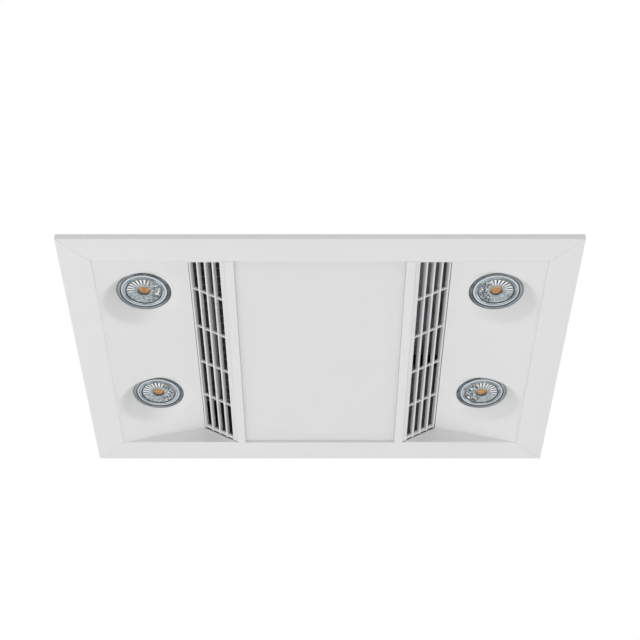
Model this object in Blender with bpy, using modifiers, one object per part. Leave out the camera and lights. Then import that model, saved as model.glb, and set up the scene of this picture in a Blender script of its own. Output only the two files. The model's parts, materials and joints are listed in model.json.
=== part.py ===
"""Bathroom ceiling heater: a flush fascia with four lamps, two louvre grilles and a heater,
and an exhaust blower in a steel housing above it.

Lengths are in metres. Heights are measured up from the fascia's face, and one empty lowers
everything by the frame's height, so the ceiling plane lies at z = 0.
"""
import math

import bmesh
import bpy
from mathutils import Matrix, Vector

# Fascia frame: four mitred rails, seen from below
OPENING_DEPTH = 0.274
RAIL_WIDTH = 0.0285
RAIL_HEIGHT = 0.0060
RAIL_WEB = 0.0018
RAIL_SKIRT = 0.0020
RAIL_LEDGE = 0.0110
RAIL_EDGE = 0.0008
MITRE_GAP = 0.0004

# Gaps and tabs of the fascia
SEAT_GAP = 0.0003
PANEL_GAP = 0.0003
TAB_REACH = 0.0065
TAB_WIDTH = 0.0140
TAB_THICKNESS = 0.0015
TAB_FOOT = 0.0012
MERGE = 0.00001
OVERRUN = 0.0050

# Housing of folded sheet
HOUSING_SHEET = 0.0010
HOUSING_FLANGE = 0.0080
HOUSING_GAP = 0.0005
WALL_CUT = 0.0020

# Small pan-head screws
SCREW_HEAD_RADIUS = 0.0022
SCREW_CROWN_RADIUS = 0.0015
SCREW_HEAD_HEIGHT = 0.0018
SCREW_SHANK_RADIUS = 0.0012
SCREW_LENGTH = 0.0050
SCREW_SIDES = 8

# Lamp panels: a slope from the rail up to the apex beside the grille
SLOPE_WIDTH = 0.0825
APEX_RISE = 0.0183
PANEL_WALL = 0.0020
PANEL_LIP = 0.0015
LIP_HEIGHT = 0.0085
END_WALL = 0.0010
PANEL_TAB_INSETS = (0.0655, 0.0235)

# Lamps, and the recesses that run from a circle on the slope to each lamp's rim
LAMP_SIDE_INSET = 0.0392
LAMP_END_INSET = 0.0603
LAMP_FACE = 0.0185
LAMP_RADIUS = 0.0250
LAMP_RIM = 0.0030
LAMP_SKIRT = 0.0120
LENS_SEAT = 0.0006
LAMP_LENGTH = 0.0460
LAMP_WAIST_RADIUS = 0.0150
LAMP_WAIST_HEIGHT = 0.0330
LAMP_BASE_RADIUS = 0.0100
LAMP_SIDES = 24
LAMP_RING = 0.0084
LENS_DEPTH = 0.0014
CHIP_RADIUS = 0.0046
CHIP_DEPTH = 0.0016
PIN_SPREAD = 0.0050
PIN_RADIUS = 0.0014
PIN_HEAD_RADIUS = 0.0023
PIN_LENGTH = 0.0060
PIN_HEAD = 0.0022
LAMP_TWIST = 30.0
RECESS_FLARE = 0.0104
RECESS_OVERRUN_SHARE = 1.2
RECESS_GAP = 0.0004
RECESS_WALL = 0.0016
COLLAR_HEIGHT = 0.0060

# Lamp holders and brackets
HOLDER_RADIUS = 0.0140
HOLDER_HEIGHT = 0.0180
HOLDER_SLOT = 0.0085
HOLDER_SLOT_GAP = 0.0004
BRACKET_SHEET = 0.0015
BRACKET_FLANGE = 0.0200
BRACKET_BEYOND = 0.0333
BRACKET_INNER = 0.0181

# Louvre grilles between the lamp panels and the trim bars
GRILLE_WIDTH = 0.0340
BAR_WIDTH = 0.0085
GRILLE_TALL = 0.0050
GRILLE_LIFT = 0.0001
GRILLE_END_GAP = 0.0009
BLADE_PITCH = 0.00837
BLADE = 0.0017
BLADE_COUNT = 5
COMB_STUB = 0.0033
ROW_COUNT = 5
RIB = 0.0015
RIB_TALL = 0.0020
RIB_SETBACK = 0.0010
BORDER_TALL = 0.0012
BORDER_SETBACK = 0.0003

# Centre panel
CENTRE_HALF = 0.0765
CENTRE_RECESS = 0.0026
CENTRE_WALL = 0.0018
CENTRE_TAB_INSET = 0.0365

# Exhaust blower with a vertical axis, hung under the housing's top
EXHAUST_CLEARANCE = 0.0164
EXHAUST_SETBACK = 0.1350
SCROLL_CLEARANCE = 0.0209
SCROLL_TALL = 0.0847
SCROLL_WALL = 0.0015
SCROLL_GAP = 0.0080
SCROLL_GROWTH = 0.0420
SCROLL_START_ANGLE = 75.0
SCROLL_NOSE = 0.0050
SCROLL_STEPS = 24
INLET_INSET = 0.0160
INLET_LIP = 0.0050
WHEEL_RADIUS = 0.0620
WHEEL_BLADE_DEPTH = 0.0120
WHEEL_BLADE = 0.0011
WHEEL_BLADES = 20
BLADE_SAG_SHARE = 0.16
BLADE_LEAN_SHARE = 0.5
WHEEL_PLATE = 0.0016
WHEEL_TALL = 0.0685
WHEEL_DROP = 0.0087
WHEEL_DISH_GAP = 0.0080
WHEEL_DISH_DROP = 0.0060
WHEEL_HUB_RADIUS = 0.0080
WHEEL_HUB_HEIGHT = 0.0100
WHEEL_SIDES = 36
MOTOR_RADIUS = 0.0360
MOTOR_TALL = 0.0349
MOTOR_BOSS = 0.0030
MOTOR_BOSS_RADIUS = 0.0120
SHAFT_RADIUS = 0.0030
SHAFT_GAP = 0.0003
SHAFT_SIDES = 12
MOTOR_SCREW_INSET = 0.0080
MOTOR_SCREW_COUNT = 3
MOTOR_SCREW_GAP = 0.0001

# Duct spigot on the far wall with its draught flap
SPIGOT_DROP = 0.0580
SPIGOT_RADIUS = 0.0490
SPIGOT_WALL = 0.0015
SPIGOT_LENGTH = 0.0500
SPIGOT_FLANGE_WIDTH = 0.0070
SPIGOT_BEAD = 0.0010
SPIGOT_BEAD_INSET = 0.0100
SPIGOT_BEAD_HALF = 0.0020
SPIGOT_SIDES = 32
FLAP_GAP = 0.0015
FLAP_THICKNESS = 0.0015
FLAP_SETBACK = 0.0220
FLAP_RISE = 0.0080
FLAP_SLEEVE = 0.0032
FLAP_SLEEVE_INSET = 0.0090
FLAP_PIN_RADIUS = 0.0015
FLAP_STOP = 0.0040

# Heater blower: a cross-flow fan above the heating element, over the left grille
HEATER_OFFSET = 0.0075
DUCT_NECK = 0.0112
HEATER_NEAR_SPACE = 0.0170
HEATER_FAR_SPACE = 0.0410
HEATER_WALL = 0.0012
HEATER_PLATE = 0.0015
HEATER_LIFT = 0.0032
DUCT_INSET = 0.0005
FAN_RADIUS = 0.0280
FAN_BORE_RADIUS = 0.0060
DUCT_SHOULDER = 0.0168
FAN_BLADE_DEPTH = 0.0060
FAN_BLADE = 0.0010
FAN_BLADES = 16
FAN_DISC = 0.0016
FAN_RIM = 0.0004
FAN_SHAFT_REACH = 0.0030
FAN_END_GAP = 0.0050
FAN_SIDES = 32
FAN_SHAFT_RADIUS = 0.0030
CASING_GAP = 0.0030
CASING_START_ANGLE = 75.0
CASING_STEPS = 12
NOSE_START_ANGLE = -55.0
NOSE_END_ANGLE = -30.0
PLATE_MARGIN = 0.0024
HANGER_HALF = 0.0150
HANGER_FOLD = 0.0120
FAN_MOTOR_RADIUS = 0.0230
FAN_MOTOR_LENGTH = 0.0320
BUSH_RADIUS = 0.0080
BUSH_FLANGE = 0.0110
ELEMENT_LIFT = 0.0040
ELEMENT_HEIGHT = 0.0260
ELEMENT_INSET = 0.0030
ELEMENT_FRAME = 0.0020
ELEMENT_FIN = 0.0010
ELEMENT_FIN_SETBACK = 0.0010
ELEMENT_FINS = 20
ELEMENT_SPINE = 0.0008
CUTOUT_RADIUS = 0.0080
CUTOUT_HEIGHT = 0.0070

# Electrical parts on the left wall
TERMINAL_CLEARANCE = 0.0269
TERMINAL_LENGTH = 0.0600
TERMINAL_DEPTH = 0.0200
TERMINAL_TALL = 0.0180
TERMINAL_WAYS = 5
TERMINAL_HOLE = 0.0022
COVER_WALL = 0.0012
COVER_LENGTH = 0.0900
COVER_DEPTH = 0.0420
COVER_TALL = 0.0620
COVER_GAP = 0.0100
GLAND_RISE = 0.0380
GLAND_RADIUS = 0.0080
GLAND_NUT = 0.0110
GLAND_BORE = 0.0050
GLAND_REACH = 0.0140
GLAND_LOCKNUT = 0.0040
GLAND_NECK = 0.0016

# Ceiling clamps in the corners
CLAMP_SIDE_INSET = 0.0065
CLAMP_INSET = 0.0080
CLAMP_SCREW_RADIUS = 0.0020
CLAMP_HEAD = 0.0022
CLAMP_HEAD_GAP = 0.0025
CLAMP_HEAD_RADIUS = 0.0042
CLAMP_COLLAR = 0.0010
CLAMP_COLLAR_RADIUS = 0.0029
CLAMP_TAB_HALF = 0.0060
CLAMP_TAB_GAP = 0.0070
CEILING_BOARD = 0.0130
DOG_LENGTH = 0.0270
DOG_WIDTH = 0.0080
DOG_ARM = 0.0060
DOG_BUSH_RADIUS = 0.0048
DOG_BUSH_HEIGHT = 0.0120
DOG_DOWN = 0.0050
DOG_UP = 0.0180
WINDOW_MARGIN = 0.0020
WINDOW_SILL = 0.0020

# Finishes: colour, roughness, metallic
WHITE_ENAMEL = ((0.72, 0.72, 0.72, 1), 0.35, 0.0)
WHITE_PLASTIC = ((0.70, 0.70, 0.70, 1), 0.40, 0.0)
ZINC_STEEL = ((0.55, 0.56, 0.58, 1), 0.40, 1.0)
ALUMINIUM = ((0.75, 0.75, 0.77, 1), 0.35, 1.0)
DARK_METAL = ((0.18, 0.20, 0.22, 1), 0.35, 0.8)
CLEAR_LENS = ((0.75, 0.80, 0.82, 1), 0.10, 0.0)
AMBER = ((0.85, 0.42, 0.06, 1), 0.45, 0.0)
CERAMIC = ((0.85, 0.83, 0.78, 1), 0.50, 0.0)
BLACK_PLASTIC = ((0.04, 0.04, 0.045, 1), 0.45, 0.0)
MOTOR_STEEL = ((0.30, 0.31, 0.33, 1), 0.45, 0.9)
BRASS = ((0.75, 0.60, 0.30, 1), 0.35, 1.0)

# Places across the fascia that follow from the sizes above, from the middle outwards
BAR_INNER = CENTRE_HALF
BAR_OUTER = BAR_INNER + BAR_WIDTH
APEX_X = BAR_OUTER + GRILLE_WIDTH
OPENING_X = APEX_X + SLOPE_WIDTH
OPENING_Y = OPENING_DEPTH / 2
FASCIA_WIDTH = (OPENING_X + RAIL_WIDTH) * 2
FASCIA_DEPTH = (OPENING_Y + RAIL_WIDTH) * 2
INNER_Y = OPENING_Y - PANEL_GAP
CENTRE_TAB_X = CENTRE_HALF - CENTRE_TAB_INSET
SLOPE = APEX_RISE / SLOPE_WIDTH
GRILLE_INNER = BAR_OUTER + PANEL_GAP
GRILLE_OUTER = APEX_X - PANEL_GAP
GRILLE_ANGLE = math.atan((APEX_RISE - GRILLE_LIFT * 2) / (GRILLE_OUTER - GRILLE_INNER))
GRILLE_LENGTH = (GRILLE_OUTER - GRILLE_INNER) / math.cos(GRILLE_ANGLE)
GRILLE_HALF = INNER_Y - END_WALL - GRILLE_END_GAP
ROW_PITCH = (GRILLE_HALF * 2 - RIB / 2 - COMB_STUB) / ROW_COUNT

# Rails, screws, lamps and their holders
LEDGE_TOP = RAIL_HEIGHT - HOUSING_SHEET - SEAT_GAP
TAB_BOTTOM = LEDGE_TOP + SEAT_GAP
TAB_TOP = TAB_BOTTOM + TAB_THICKNESS
HOLE_RADIUS = SCREW_SHANK_RADIUS + SEAT_GAP
LAMP_X = OPENING_X - LAMP_SIDE_INSET
LAMP_Y = OPENING_Y - LAMP_END_INSET
LENS_RADIUS = LAMP_RADIUS - LAMP_RING
RECESS_RADIUS = LAMP_RADIUS + RECESS_FLARE
LAMP_TOP = LAMP_FACE + LAMP_LENGTH
HOLDER_BOTTOM = LAMP_TOP + SEAT_GAP
BRACKET_BOTTOM = HOLDER_BOTTOM + HOLDER_HEIGHT + SEAT_GAP
BRACKET_TOP = BRACKET_BOTTOM + BRACKET_FLANGE

# Housing, as high as the lamps with the exhaust blower over them
HOUSING_X = OPENING_X + TAB_REACH + HOUSING_GAP + HOUSING_SHEET
HOUSING_Y = OPENING_Y + TAB_REACH + HOUSING_GAP + HOUSING_SHEET
SCROLL_BOTTOM = BRACKET_TOP + SCROLL_CLEARANCE
CEILING_UNDER = SCROLL_BOTTOM + SCROLL_TALL
HOUSING_TOP = CEILING_UNDER + SEAT_GAP + HOUSING_SHEET

# Heater blower over the left grille
HEATER_X = CENTRE_HALF + HEATER_OFFSET
DUCT_OUTER = APEX_X - DUCT_INSET
DUCT_INNER = BAR_OUTER + DUCT_INSET
DUCT_DROP = FAN_RADIUS + DUCT_SHOULDER
CASING_START = FAN_RADIUS + CASING_GAP
HEATER_BOTTOM = APEX_RISE + LIP_HEIGHT + HEATER_LIFT
ELEMENT_BOTTOM = HEATER_BOTTOM + ELEMENT_LIFT
HEATER_HEIGHT = ELEMENT_BOTTOM + ELEMENT_HEIGHT + DUCT_NECK + DUCT_DROP
HEATER_NEAR = HEATER_NEAR_SPACE - HOUSING_Y
HEATER_FAR = HOUSING_Y - HEATER_FAR_SPACE

# Exhaust blower beside the heater's casing
SCROLL_START = WHEEL_RADIUS + SCROLL_GAP
SCROLL_END = SCROLL_START + SCROLL_GROWTH
SCROLL_LEFT_SHARE = (180 - SCROLL_START_ANGLE) / (360 - SCROLL_START_ANGLE)
SCROLL_LEFT = SCROLL_START + SCROLL_GROWTH * SCROLL_LEFT_SHARE + SCROLL_WALL / 2
EXHAUST_X = CASING_START + PLATE_MARGIN - HEATER_X + EXHAUST_CLEARANCE + SCROLL_LEFT
EXHAUST_Y = EXHAUST_SETBACK - HOUSING_Y
INLET_RADIUS = WHEEL_RADIUS - INLET_INSET
WHEEL_TOP = CEILING_UNDER - WHEEL_DROP
WHEEL_BOTTOM = WHEEL_TOP - WHEEL_TALL
MOTOR_TOP = CEILING_UNDER - SCROLL_WALL - SEAT_GAP
MOTOR_BOTTOM = MOTOR_TOP - MOTOR_TALL
MOTOR_SCREW_RADIUS = MOTOR_RADIUS - MOTOR_SCREW_INSET
WHEEL_DISH_RADIUS = MOTOR_RADIUS + WHEEL_DISH_GAP
WHEEL_DISH_FLOOR = MOTOR_BOTTOM - WHEEL_DISH_DROP
SHAFT_BORE = SHAFT_RADIUS + SHAFT_GAP
SPIGOT_X = EXHAUST_X + (SCROLL_END + SCROLL_START * math.cos(math.radians(SCROLL_START_ANGLE))) / 2
SPIGOT_HEIGHT = HOUSING_TOP - SPIGOT_DROP
SPIGOT_FLANGE = SPIGOT_RADIUS + SPIGOT_FLANGE_WIDTH
SPIGOT_BEAD_AT = SPIGOT_LENGTH - SPIGOT_BEAD_INSET
FLAP_SLEEVE_HALF = SPIGOT_RADIUS - FLAP_SLEEVE_INSET

# Electrical parts and ceiling clamps
TERMINAL_HEIGHT = BRACKET_TOP + TERMINAL_CLEARANCE
GLAND_HEIGHT = TERMINAL_HEIGHT + GLAND_RISE
CLAMP_X = OPENING_X - CLAMP_SIDE_INSET
CLAMP_Y = HOUSING_Y - HOUSING_SHEET - CLAMP_INSET
DOG_BOTTOM = RAIL_HEIGHT + CEILING_BOARD
CLAMP_TAB = DOG_BOTTOM + DOG_BUSH_HEIGHT + DOG_UP + CLAMP_TAB_GAP
CLAMP_HEAD_TOP = DOG_BOTTOM - DOG_DOWN - CLAMP_HEAD_GAP
WINDOW_BOTTOM = RAIL_HEIGHT + WINDOW_SILL

PLANE_XY = Matrix.Identity(4)
PLANE_XZ = Matrix(((1, 0, 0, 0), (0, 0, -1, 0), (0, 1, 0, 0), (0, 0, 0, 1)))
PLANE_YZ = Matrix(((0, 0, 1, 0), (1, 0, 0, 0), (0, 1, 0, 0), (0, 0, 0, 1)))
ALONG = {"X": Matrix.Rotation(math.radians(90), 4, "Y"),
         "Y": Matrix.Rotation(math.radians(-90), 4, "X"),
         "Z": Matrix.Identity(4)}
LAID = (math.radians(-90), 0, 0)
SHARP_ANGLE = math.radians(35)
SIDES = {"left": -1, "right": 1}
ENDS = {"near": -1, "far": 1}


# Collections, finishes and objects
def clear_scene():
    for thing in list(bpy.data.objects):
        bpy.data.objects.remove(thing)


def new_collection(name):
    collection = bpy.data.collections.new(name)
    bpy.context.scene.collection.children.link(collection)
    return collection


def finish(name, look):
    colour, roughness, metallic = look
    material = bpy.data.materials.new(name)
    material.use_nodes = True
    shader = material.node_tree.nodes["Principled BSDF"]
    shader.inputs["Base Color"].default_value = colour
    shader.inputs["Roughness"].default_value = roughness
    shader.inputs["Metallic"].default_value = metallic
    material.diffuse_color = colour
    return material


def part(name, mesh, look, location=(0, 0, 0), turn=None):
    """One sub-part: its own object, in its own finish, carried by the fascia plane's empty."""
    piece = bpy.data.objects.new(name, mesh)
    PARTS.objects.link(piece)
    piece.parent = FACE_PLANE
    piece.location = location
    if turn:
        piece.rotation_euler = turn
    mesh.shade_smooth()
    mesh.set_sharp_from_angle(angle=SHARP_ANGLE)
    mesh.materials.append(finish(name, look))
    return piece


def apply_tool(target, mesh, operation, location=(0, 0, 0), turn=None):
    """Boolean of a part with a tool shape, which stays in the cutters' collection."""
    tool = bpy.data.objects.new(f"{target.name}_tool", mesh)
    CUTTERS.objects.link(tool)
    tool.parent = FACE_PLANE
    tool.location = location
    if turn:
        tool.rotation_euler = turn
    tool.hide_render = True
    tool.display_type = "WIRE"
    step = target.modifiers.new(operation.lower(), "BOOLEAN")
    step.operation = operation
    step.object = tool
    step.solver = "EXACT"


def cut(target, mesh, location=(0, 0, 0), turn=None):
    apply_tool(target, mesh, "DIFFERENCE", location, turn)


def weld(target, mesh, location=(0, 0, 0), turn=None):
    apply_tool(target, mesh, "UNION", location, turn)


# Mesh makers
def evaluated_mesh(guide):
    """The mesh that a curve or a modified object shows."""
    bpy.context.scene.collection.objects.link(guide)
    graph = bpy.context.evaluated_depsgraph_get()
    mesh = bpy.data.meshes.new_from_object(guide.evaluated_get(graph))
    bpy.data.objects.remove(guide)
    return outwards(mesh)


def outwards(mesh):
    """The same mesh with its doubled points welded and its faces outwards."""
    shape = bmesh.new()
    shape.from_mesh(mesh)
    bmesh.ops.remove_doubles(shape, verts=shape.verts, dist=MERGE)
    bmesh.ops.recalc_face_normals(shape, faces=shape.faces)
    shape.to_mesh(mesh)
    shape.free()
    return mesh


def outline_mesh(outlines, thickness, plane=PLANE_XY, centre=(0, 0, 0)):
    """Flat outlines, the first the edge and the rest holes, thickened about their plane."""
    curve = bpy.data.curves.new("outline", "CURVE")
    curve.dimensions = "2D"
    curve.fill_mode = "BOTH"
    curve.extrude = thickness / 2
    for points in outlines:
        spline = curve.splines.new("POLY")
        spline.points.add(len(points) - 1)
        for point, (u, v) in zip(spline.points, points):
            point.co = (u, v, 0, 1)
        spline.use_cyclic_u = True
    mesh = evaluated_mesh(bpy.data.objects.new("outline", curve))
    mesh.transform(Matrix.Translation(centre) @ plane)
    return mesh


def turned_mesh(profile, sides):
    """A profile of (radius, height), top to bottom down the outer side, turned about Z."""
    mesh = bpy.data.meshes.new("profile")
    edges = [(index, index + 1) for index in range(len(profile) - 1)]
    if profile[0][0] > 0:
        edges.append((len(profile) - 1, 0))
    mesh.from_pydata([(radius, 0, height) for radius, height in profile], edges, [])
    guide = bpy.data.objects.new("profile", mesh)
    screw = guide.modifiers.new("turn", "SCREW")
    screw.axis = "Z"
    screw.steps = sides
    screw.render_steps = sides
    screw.use_merge_vertices = True
    screw.merge_threshold = MERGE
    return evaluated_mesh(guide)


def box_mesh(low, high):
    shape = bmesh.new()
    low, high = Vector(low), Vector(high)
    place = Matrix.Translation((low + high) / 2) @ Matrix.Diagonal(high - low).to_4x4()
    bmesh.ops.create_cube(shape, size=1, matrix=place)
    mesh = bpy.data.meshes.new("box")
    shape.to_mesh(mesh)
    shape.free()
    return mesh


def rod_mesh(radius, start, length, axis, sides):
    """A round bar from its start point along an axis."""
    shape = bmesh.new()
    place = Matrix.Translation(start) @ ALONG[axis] @ Matrix.Translation((0, 0, length / 2))
    bmesh.ops.create_cone(shape, cap_ends=True, segments=sides, radius1=radius, radius2=radius,
                          depth=length, matrix=place)
    mesh = bpy.data.meshes.new("rod")
    shape.to_mesh(mesh)
    shape.free()
    return mesh


def placed(mesh, matrix):
    copy = mesh.copy()
    copy.transform(matrix)
    return copy


def gathered(meshes):
    """Several separate shapes in one mesh."""
    shape = bmesh.new()
    for mesh in meshes:
        shape.from_mesh(mesh)
    mesh = bpy.data.meshes.new("group")
    shape.to_mesh(mesh)
    shape.free()
    return mesh


def rectangle(half_u, half_v):
    return [(-half_u, -half_v), (half_u, -half_v), (half_u, half_v), (-half_u, half_v)]


def circle(radius, sides, centre=(0, 0)):
    turns = [math.tau * index / sides for index in range(sides)]
    return [(centre[0] + radius * math.cos(turn), centre[1] + radius * math.sin(turn)) for turn in turns]


def arc(centre, radius, first, last, steps):
    """Points on an arc, its angles in degrees."""
    turns = [math.radians(first + (last - first) * index / steps) for index in range(steps + 1)]
    return [(centre[0] + radius * math.cos(turn), centre[1] + radius * math.sin(turn)) for turn in turns]


def thick_path(points, thickness):
    """Outline of a strip that follows open points, half its thickness to each side."""
    left, right = [], []
    for index, point in enumerate(points):
        here = Vector(point)
        before = (here - Vector(points[index - 1])).normalized() if index else None
        after = (Vector(points[index + 1]) - here).normalized() if index + 1 < len(points) else None
        direction = ((before or after) + (after or before)).normalized()
        lean = direction.dot(before or after)
        normal = Vector((-direction.y, direction.x)) * thickness / 2 / lean
        left.append(tuple(here + normal))
        right.append(tuple(here - normal))
    return left + right[::-1]


def screw_mesh():
    """A pan-head screw that points down, with the underside of its head at z = 0."""
    profile = [(0, SCREW_HEAD_HEIGHT), (SCREW_CROWN_RADIUS, SCREW_HEAD_HEIGHT),
               (SCREW_HEAD_RADIUS, SCREW_HEAD_HEIGHT / 2), (SCREW_HEAD_RADIUS, 0),
               (SCREW_SHANK_RADIUS, 0), (SCREW_SHANK_RADIUS, -SCREW_LENGTH), (0, -SCREW_LENGTH)]
    return turned_mesh(profile, SCREW_SIDES)


# Fascia frame
def rail_section():
    """Outline of a rail across its width, from the outer edge, and up from its face."""
    inner = RAIL_WIDTH - RAIL_LEDGE
    edge = RAIL_EDGE
    return (arc((edge, edge), edge, 180, 270, 3) + arc((RAIL_WIDTH - edge, edge), edge, 270, 360, 3)
            + [(RAIL_WIDTH, LEDGE_TOP), (inner, LEDGE_TOP), (inner, RAIL_WEB),
               (RAIL_SKIRT, RAIL_WEB), (RAIL_SKIRT, RAIL_HEIGHT), (0, RAIL_HEIGHT)])


def frame_rail(name, length, half_depth, degrees):
    """A rail along X at the near side, its ends slid to the mitre, then turned to its own side."""
    section = [(width - half_depth, height) for width, height in rail_section()]
    mesh = outline_mesh([section], length, PLANE_YZ)
    for vertex in mesh.vertices:
        width = vertex.co.y + half_depth
        vertex.co.x = math.copysign(length / 2 - width - MITRE_GAP / 2, vertex.co.x)
    return part(name, mesh, WHITE_ENAMEL, turn=(0, 0, math.radians(degrees)))


def fascia_frame():
    frame_rail("frame_rail_near", FASCIA_WIDTH, FASCIA_DEPTH / 2, 0)
    frame_rail("frame_rail_right", FASCIA_DEPTH, FASCIA_WIDTH / 2, 90)
    frame_rail("frame_rail_far", FASCIA_WIDTH, FASCIA_DEPTH / 2, 180)
    frame_rail("frame_rail_left", FASCIA_DEPTH, FASCIA_WIDTH / 2, 270)


# Lamp panels
def slope_height(x):
    """Height of a lamp panel's visible face at a distance from the middle."""
    return (OPENING_X - x) * SLOPE


def panel_section(side):
    outer = OPENING_X - PANEL_GAP
    lip = outer - PANEL_LIP
    inner_lip = APEX_X + PANEL_LIP
    points = [(outer, slope_height(outer)), (APEX_X, APEX_RISE), (APEX_X, APEX_RISE + LIP_HEIGHT),
              (inner_lip, APEX_RISE + LIP_HEIGHT), (inner_lip, slope_height(inner_lip) + PANEL_WALL),
              (lip, slope_height(lip) + PANEL_WALL), (lip, TAB_TOP), (OPENING_X + TAB_REACH, TAB_TOP),
              (OPENING_X + TAB_REACH, TAB_BOTTOM), (outer, TAB_BOTTOM)]
    return [(side * x, z) for x, z in points]


def end_walls(side):
    """Triangular walls that close a trough below its slopes, near and far."""
    foot = SEAT_GAP
    peak = APEX_RISE + PANEL_WALL / 2
    triangle = [(side * (OPENING_X - PANEL_LIP), foot), (side * (APEX_X + PANEL_LIP / 2), peak),
                (side * (APEX_X - PANEL_GAP), APEX_RISE), (side * (BAR_OUTER + PANEL_GAP), foot)]
    middle = INNER_Y - END_WALL / 2 - PANEL_GAP
    return gathered([outline_mesh([triangle], END_WALL, PLANE_XZ, (0, end * middle, 0))
                     for end in ENDS.values()])


def end_tabs(columns, riser_bottom):
    """Angles that rise behind an end wall and reach out over the rails' ledges."""
    inner = INNER_Y - PANEL_GAP - END_WALL / 2
    outer = OPENING_Y + TAB_REACH
    tab = [(inner, riser_bottom), (INNER_Y, riser_bottom), (INNER_Y, TAB_BOTTOM),
           (outer, TAB_BOTTOM), (outer, TAB_TOP), (inner, TAB_TOP)]
    tabs = [outline_mesh([[(end * y, z) for y, z in tab]], TAB_WIDTH, PLANE_YZ, (x, 0, 0))
            for x in columns for end in ENDS.values()]
    return gathered(tabs)


def recess_mesh(side, grow, top, share, lift):
    """Round a lamp: down to its face, then out by a share of the way to a circle on the slope."""
    turns = [math.tau * index / LAMP_SIDES for index in range(LAMP_SIDES)]
    hole = LAMP_RADIUS + RECESS_GAP
    points = [(hole + grow, turn, height) for height in (top, LAMP_FACE) for turn in turns]
    reach = hole + (RECESS_RADIUS - hole) * share
    for turn in turns:
        edge = slope_height(LAMP_X + RECESS_RADIUS * math.cos(turn)) + lift
        points.append((reach + grow, turn, LAMP_FACE + (edge - LAMP_FACE) * share))
    around = range(LAMP_SIDES)
    faces = [list(around), [index + LAMP_SIDES * 2 for index in around]]
    for row in (0, LAMP_SIDES):
        for index in around:
            after = (index + 1) % LAMP_SIDES
            faces.append([row + index, row + after, row + after + LAMP_SIDES, row + index + LAMP_SIDES])
    mesh = bpy.data.meshes.new("recess")
    mesh.from_pydata([(side * radius * math.cos(turn), radius * math.sin(turn), height)
                      for radius, turn, height in points], [], faces)
    return outwards(mesh)


def lamp_panel(name, side):
    """Sloping panel with its end walls, tabs and two recesses."""
    slope = outline_mesh([panel_section(side)], INNER_Y * 2, PLANE_XZ)
    body = part(f"lamp_panel_{name}", slope, WHITE_PLASTIC)
    spots = [Matrix.Translation((side * LAMP_X, end * LAMP_Y, 0)) for end in ENDS.values()]
    weld(body, end_walls(side))
    weld(body, end_tabs([side * (OPENING_X - inset) for inset in PANEL_TAB_INSETS], TAB_FOOT))
    cup = recess_mesh(side, RECESS_WALL, LAMP_FACE + COLLAR_HEIGHT, 1, PANEL_WALL / 2)
    weld(body, gathered([placed(cup, spot) for spot in spots]))
    room = recess_mesh(side, 0, LAMP_FACE + COLLAR_HEIGHT + OVERRUN, RECESS_OVERRUN_SHARE, 0)
    cut(body, gathered([placed(room, spot) for spot in spots]))


# Grilles, bars and centre panel
def on_grille(side, along, up):
    """(x, z) of a place along the grille's face from the bar, and up at right angles to it."""
    x = GRILLE_INNER + along * math.cos(GRILLE_ANGLE) - up * math.sin(GRILLE_ANGLE)
    return side * x, GRILLE_LIFT + along * math.sin(GRILLE_ANGLE) + up * math.cos(GRILLE_ANGLE)


def grille_slot(side, start, end, bottom, top, low_y, high_y):
    corners = [on_grille(side, start, bottom), on_grille(side, end, bottom),
               on_grille(side, end, top), on_grille(side, start, top)]
    return outline_mesh([corners], high_y - low_y, PLANE_XZ, (0, (low_y + high_y) / 2, 0))


def grille(name, side):
    """Blades at right angles to a sloping face, with thin cross ribs set back between them.

    A flat border closes the side at the bar, a rib closes the near end, and the blades run past
    the last rib at the far end.
    """
    crown = (side * GRILLE_INNER, GRILLE_LIFT + GRILLE_TALL / math.cos(GRILLE_ANGLE))
    section = [on_grille(side, 0, 0), on_grille(side, GRILLE_LENGTH, 0),
               on_grille(side, GRILLE_LENGTH, GRILLE_TALL), crown]
    body = part(name, outline_mesh([section], GRILLE_HALF * 2, PLANE_XZ), WHITE_PLASTIC)
    blades = [GRILLE_LENGTH - BLADE_PITCH * index for index in range(BLADE_COUNT)]
    slots = [(low, high - BLADE) for low, high in zip(blades[1:], blades)]
    rib_top = RIB_SETBACK + RIB_TALL
    beyond = GRILLE_TALL + OVERRUN
    border, border_top = blades[-1] - BLADE, BORDER_SETBACK + BORDER_TALL
    grooves = [grille_slot(side, -OVERRUN, border, -OVERRUN, BORDER_SETBACK, -INNER_Y, INNER_Y),
               grille_slot(side, -OVERRUN, border, border_top, beyond, -INNER_Y, INNER_Y)]
    windows = []
    for start, end in slots:
        grooves.append(grille_slot(side, start, end, -OVERRUN, RIB_SETBACK, -INNER_Y, INNER_Y))
        grooves.append(grille_slot(side, start, end, rib_top, beyond, -INNER_Y, INNER_Y))
        for row in range(ROW_COUNT + 1):
            low_y = row * ROW_PITCH + RIB - GRILLE_HALF
            windows.append(grille_slot(side, start, end, RIB_SETBACK / 2, rib_top + RIB_SETBACK / 2,
                                       low_y, low_y + ROW_PITCH - RIB))
    cut(body, gathered(grooves))
    cut(body, gathered(windows))


def end_to_end_section(bottom, top):
    """A strip from rail to rail whose ends reach out over the ledges, seen along X."""
    inner, outer = INNER_Y, OPENING_Y + TAB_REACH
    half = [(inner, bottom), (inner, TAB_BOTTOM), (outer, TAB_BOTTOM), (outer, top)]
    return half + [(-y, z) for y, z in reversed(half)]


def trim_bar(name, side):
    width = BAR_OUTER - BAR_INNER - PANEL_GAP
    middle = side * (BAR_OUTER + BAR_INNER) / 2
    strip = outline_mesh([end_to_end_section(0, TAB_TOP)], width, PLANE_YZ, (middle, 0, 0))
    part(f"trim_bar_{name}", strip, WHITE_ENAMEL)


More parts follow.
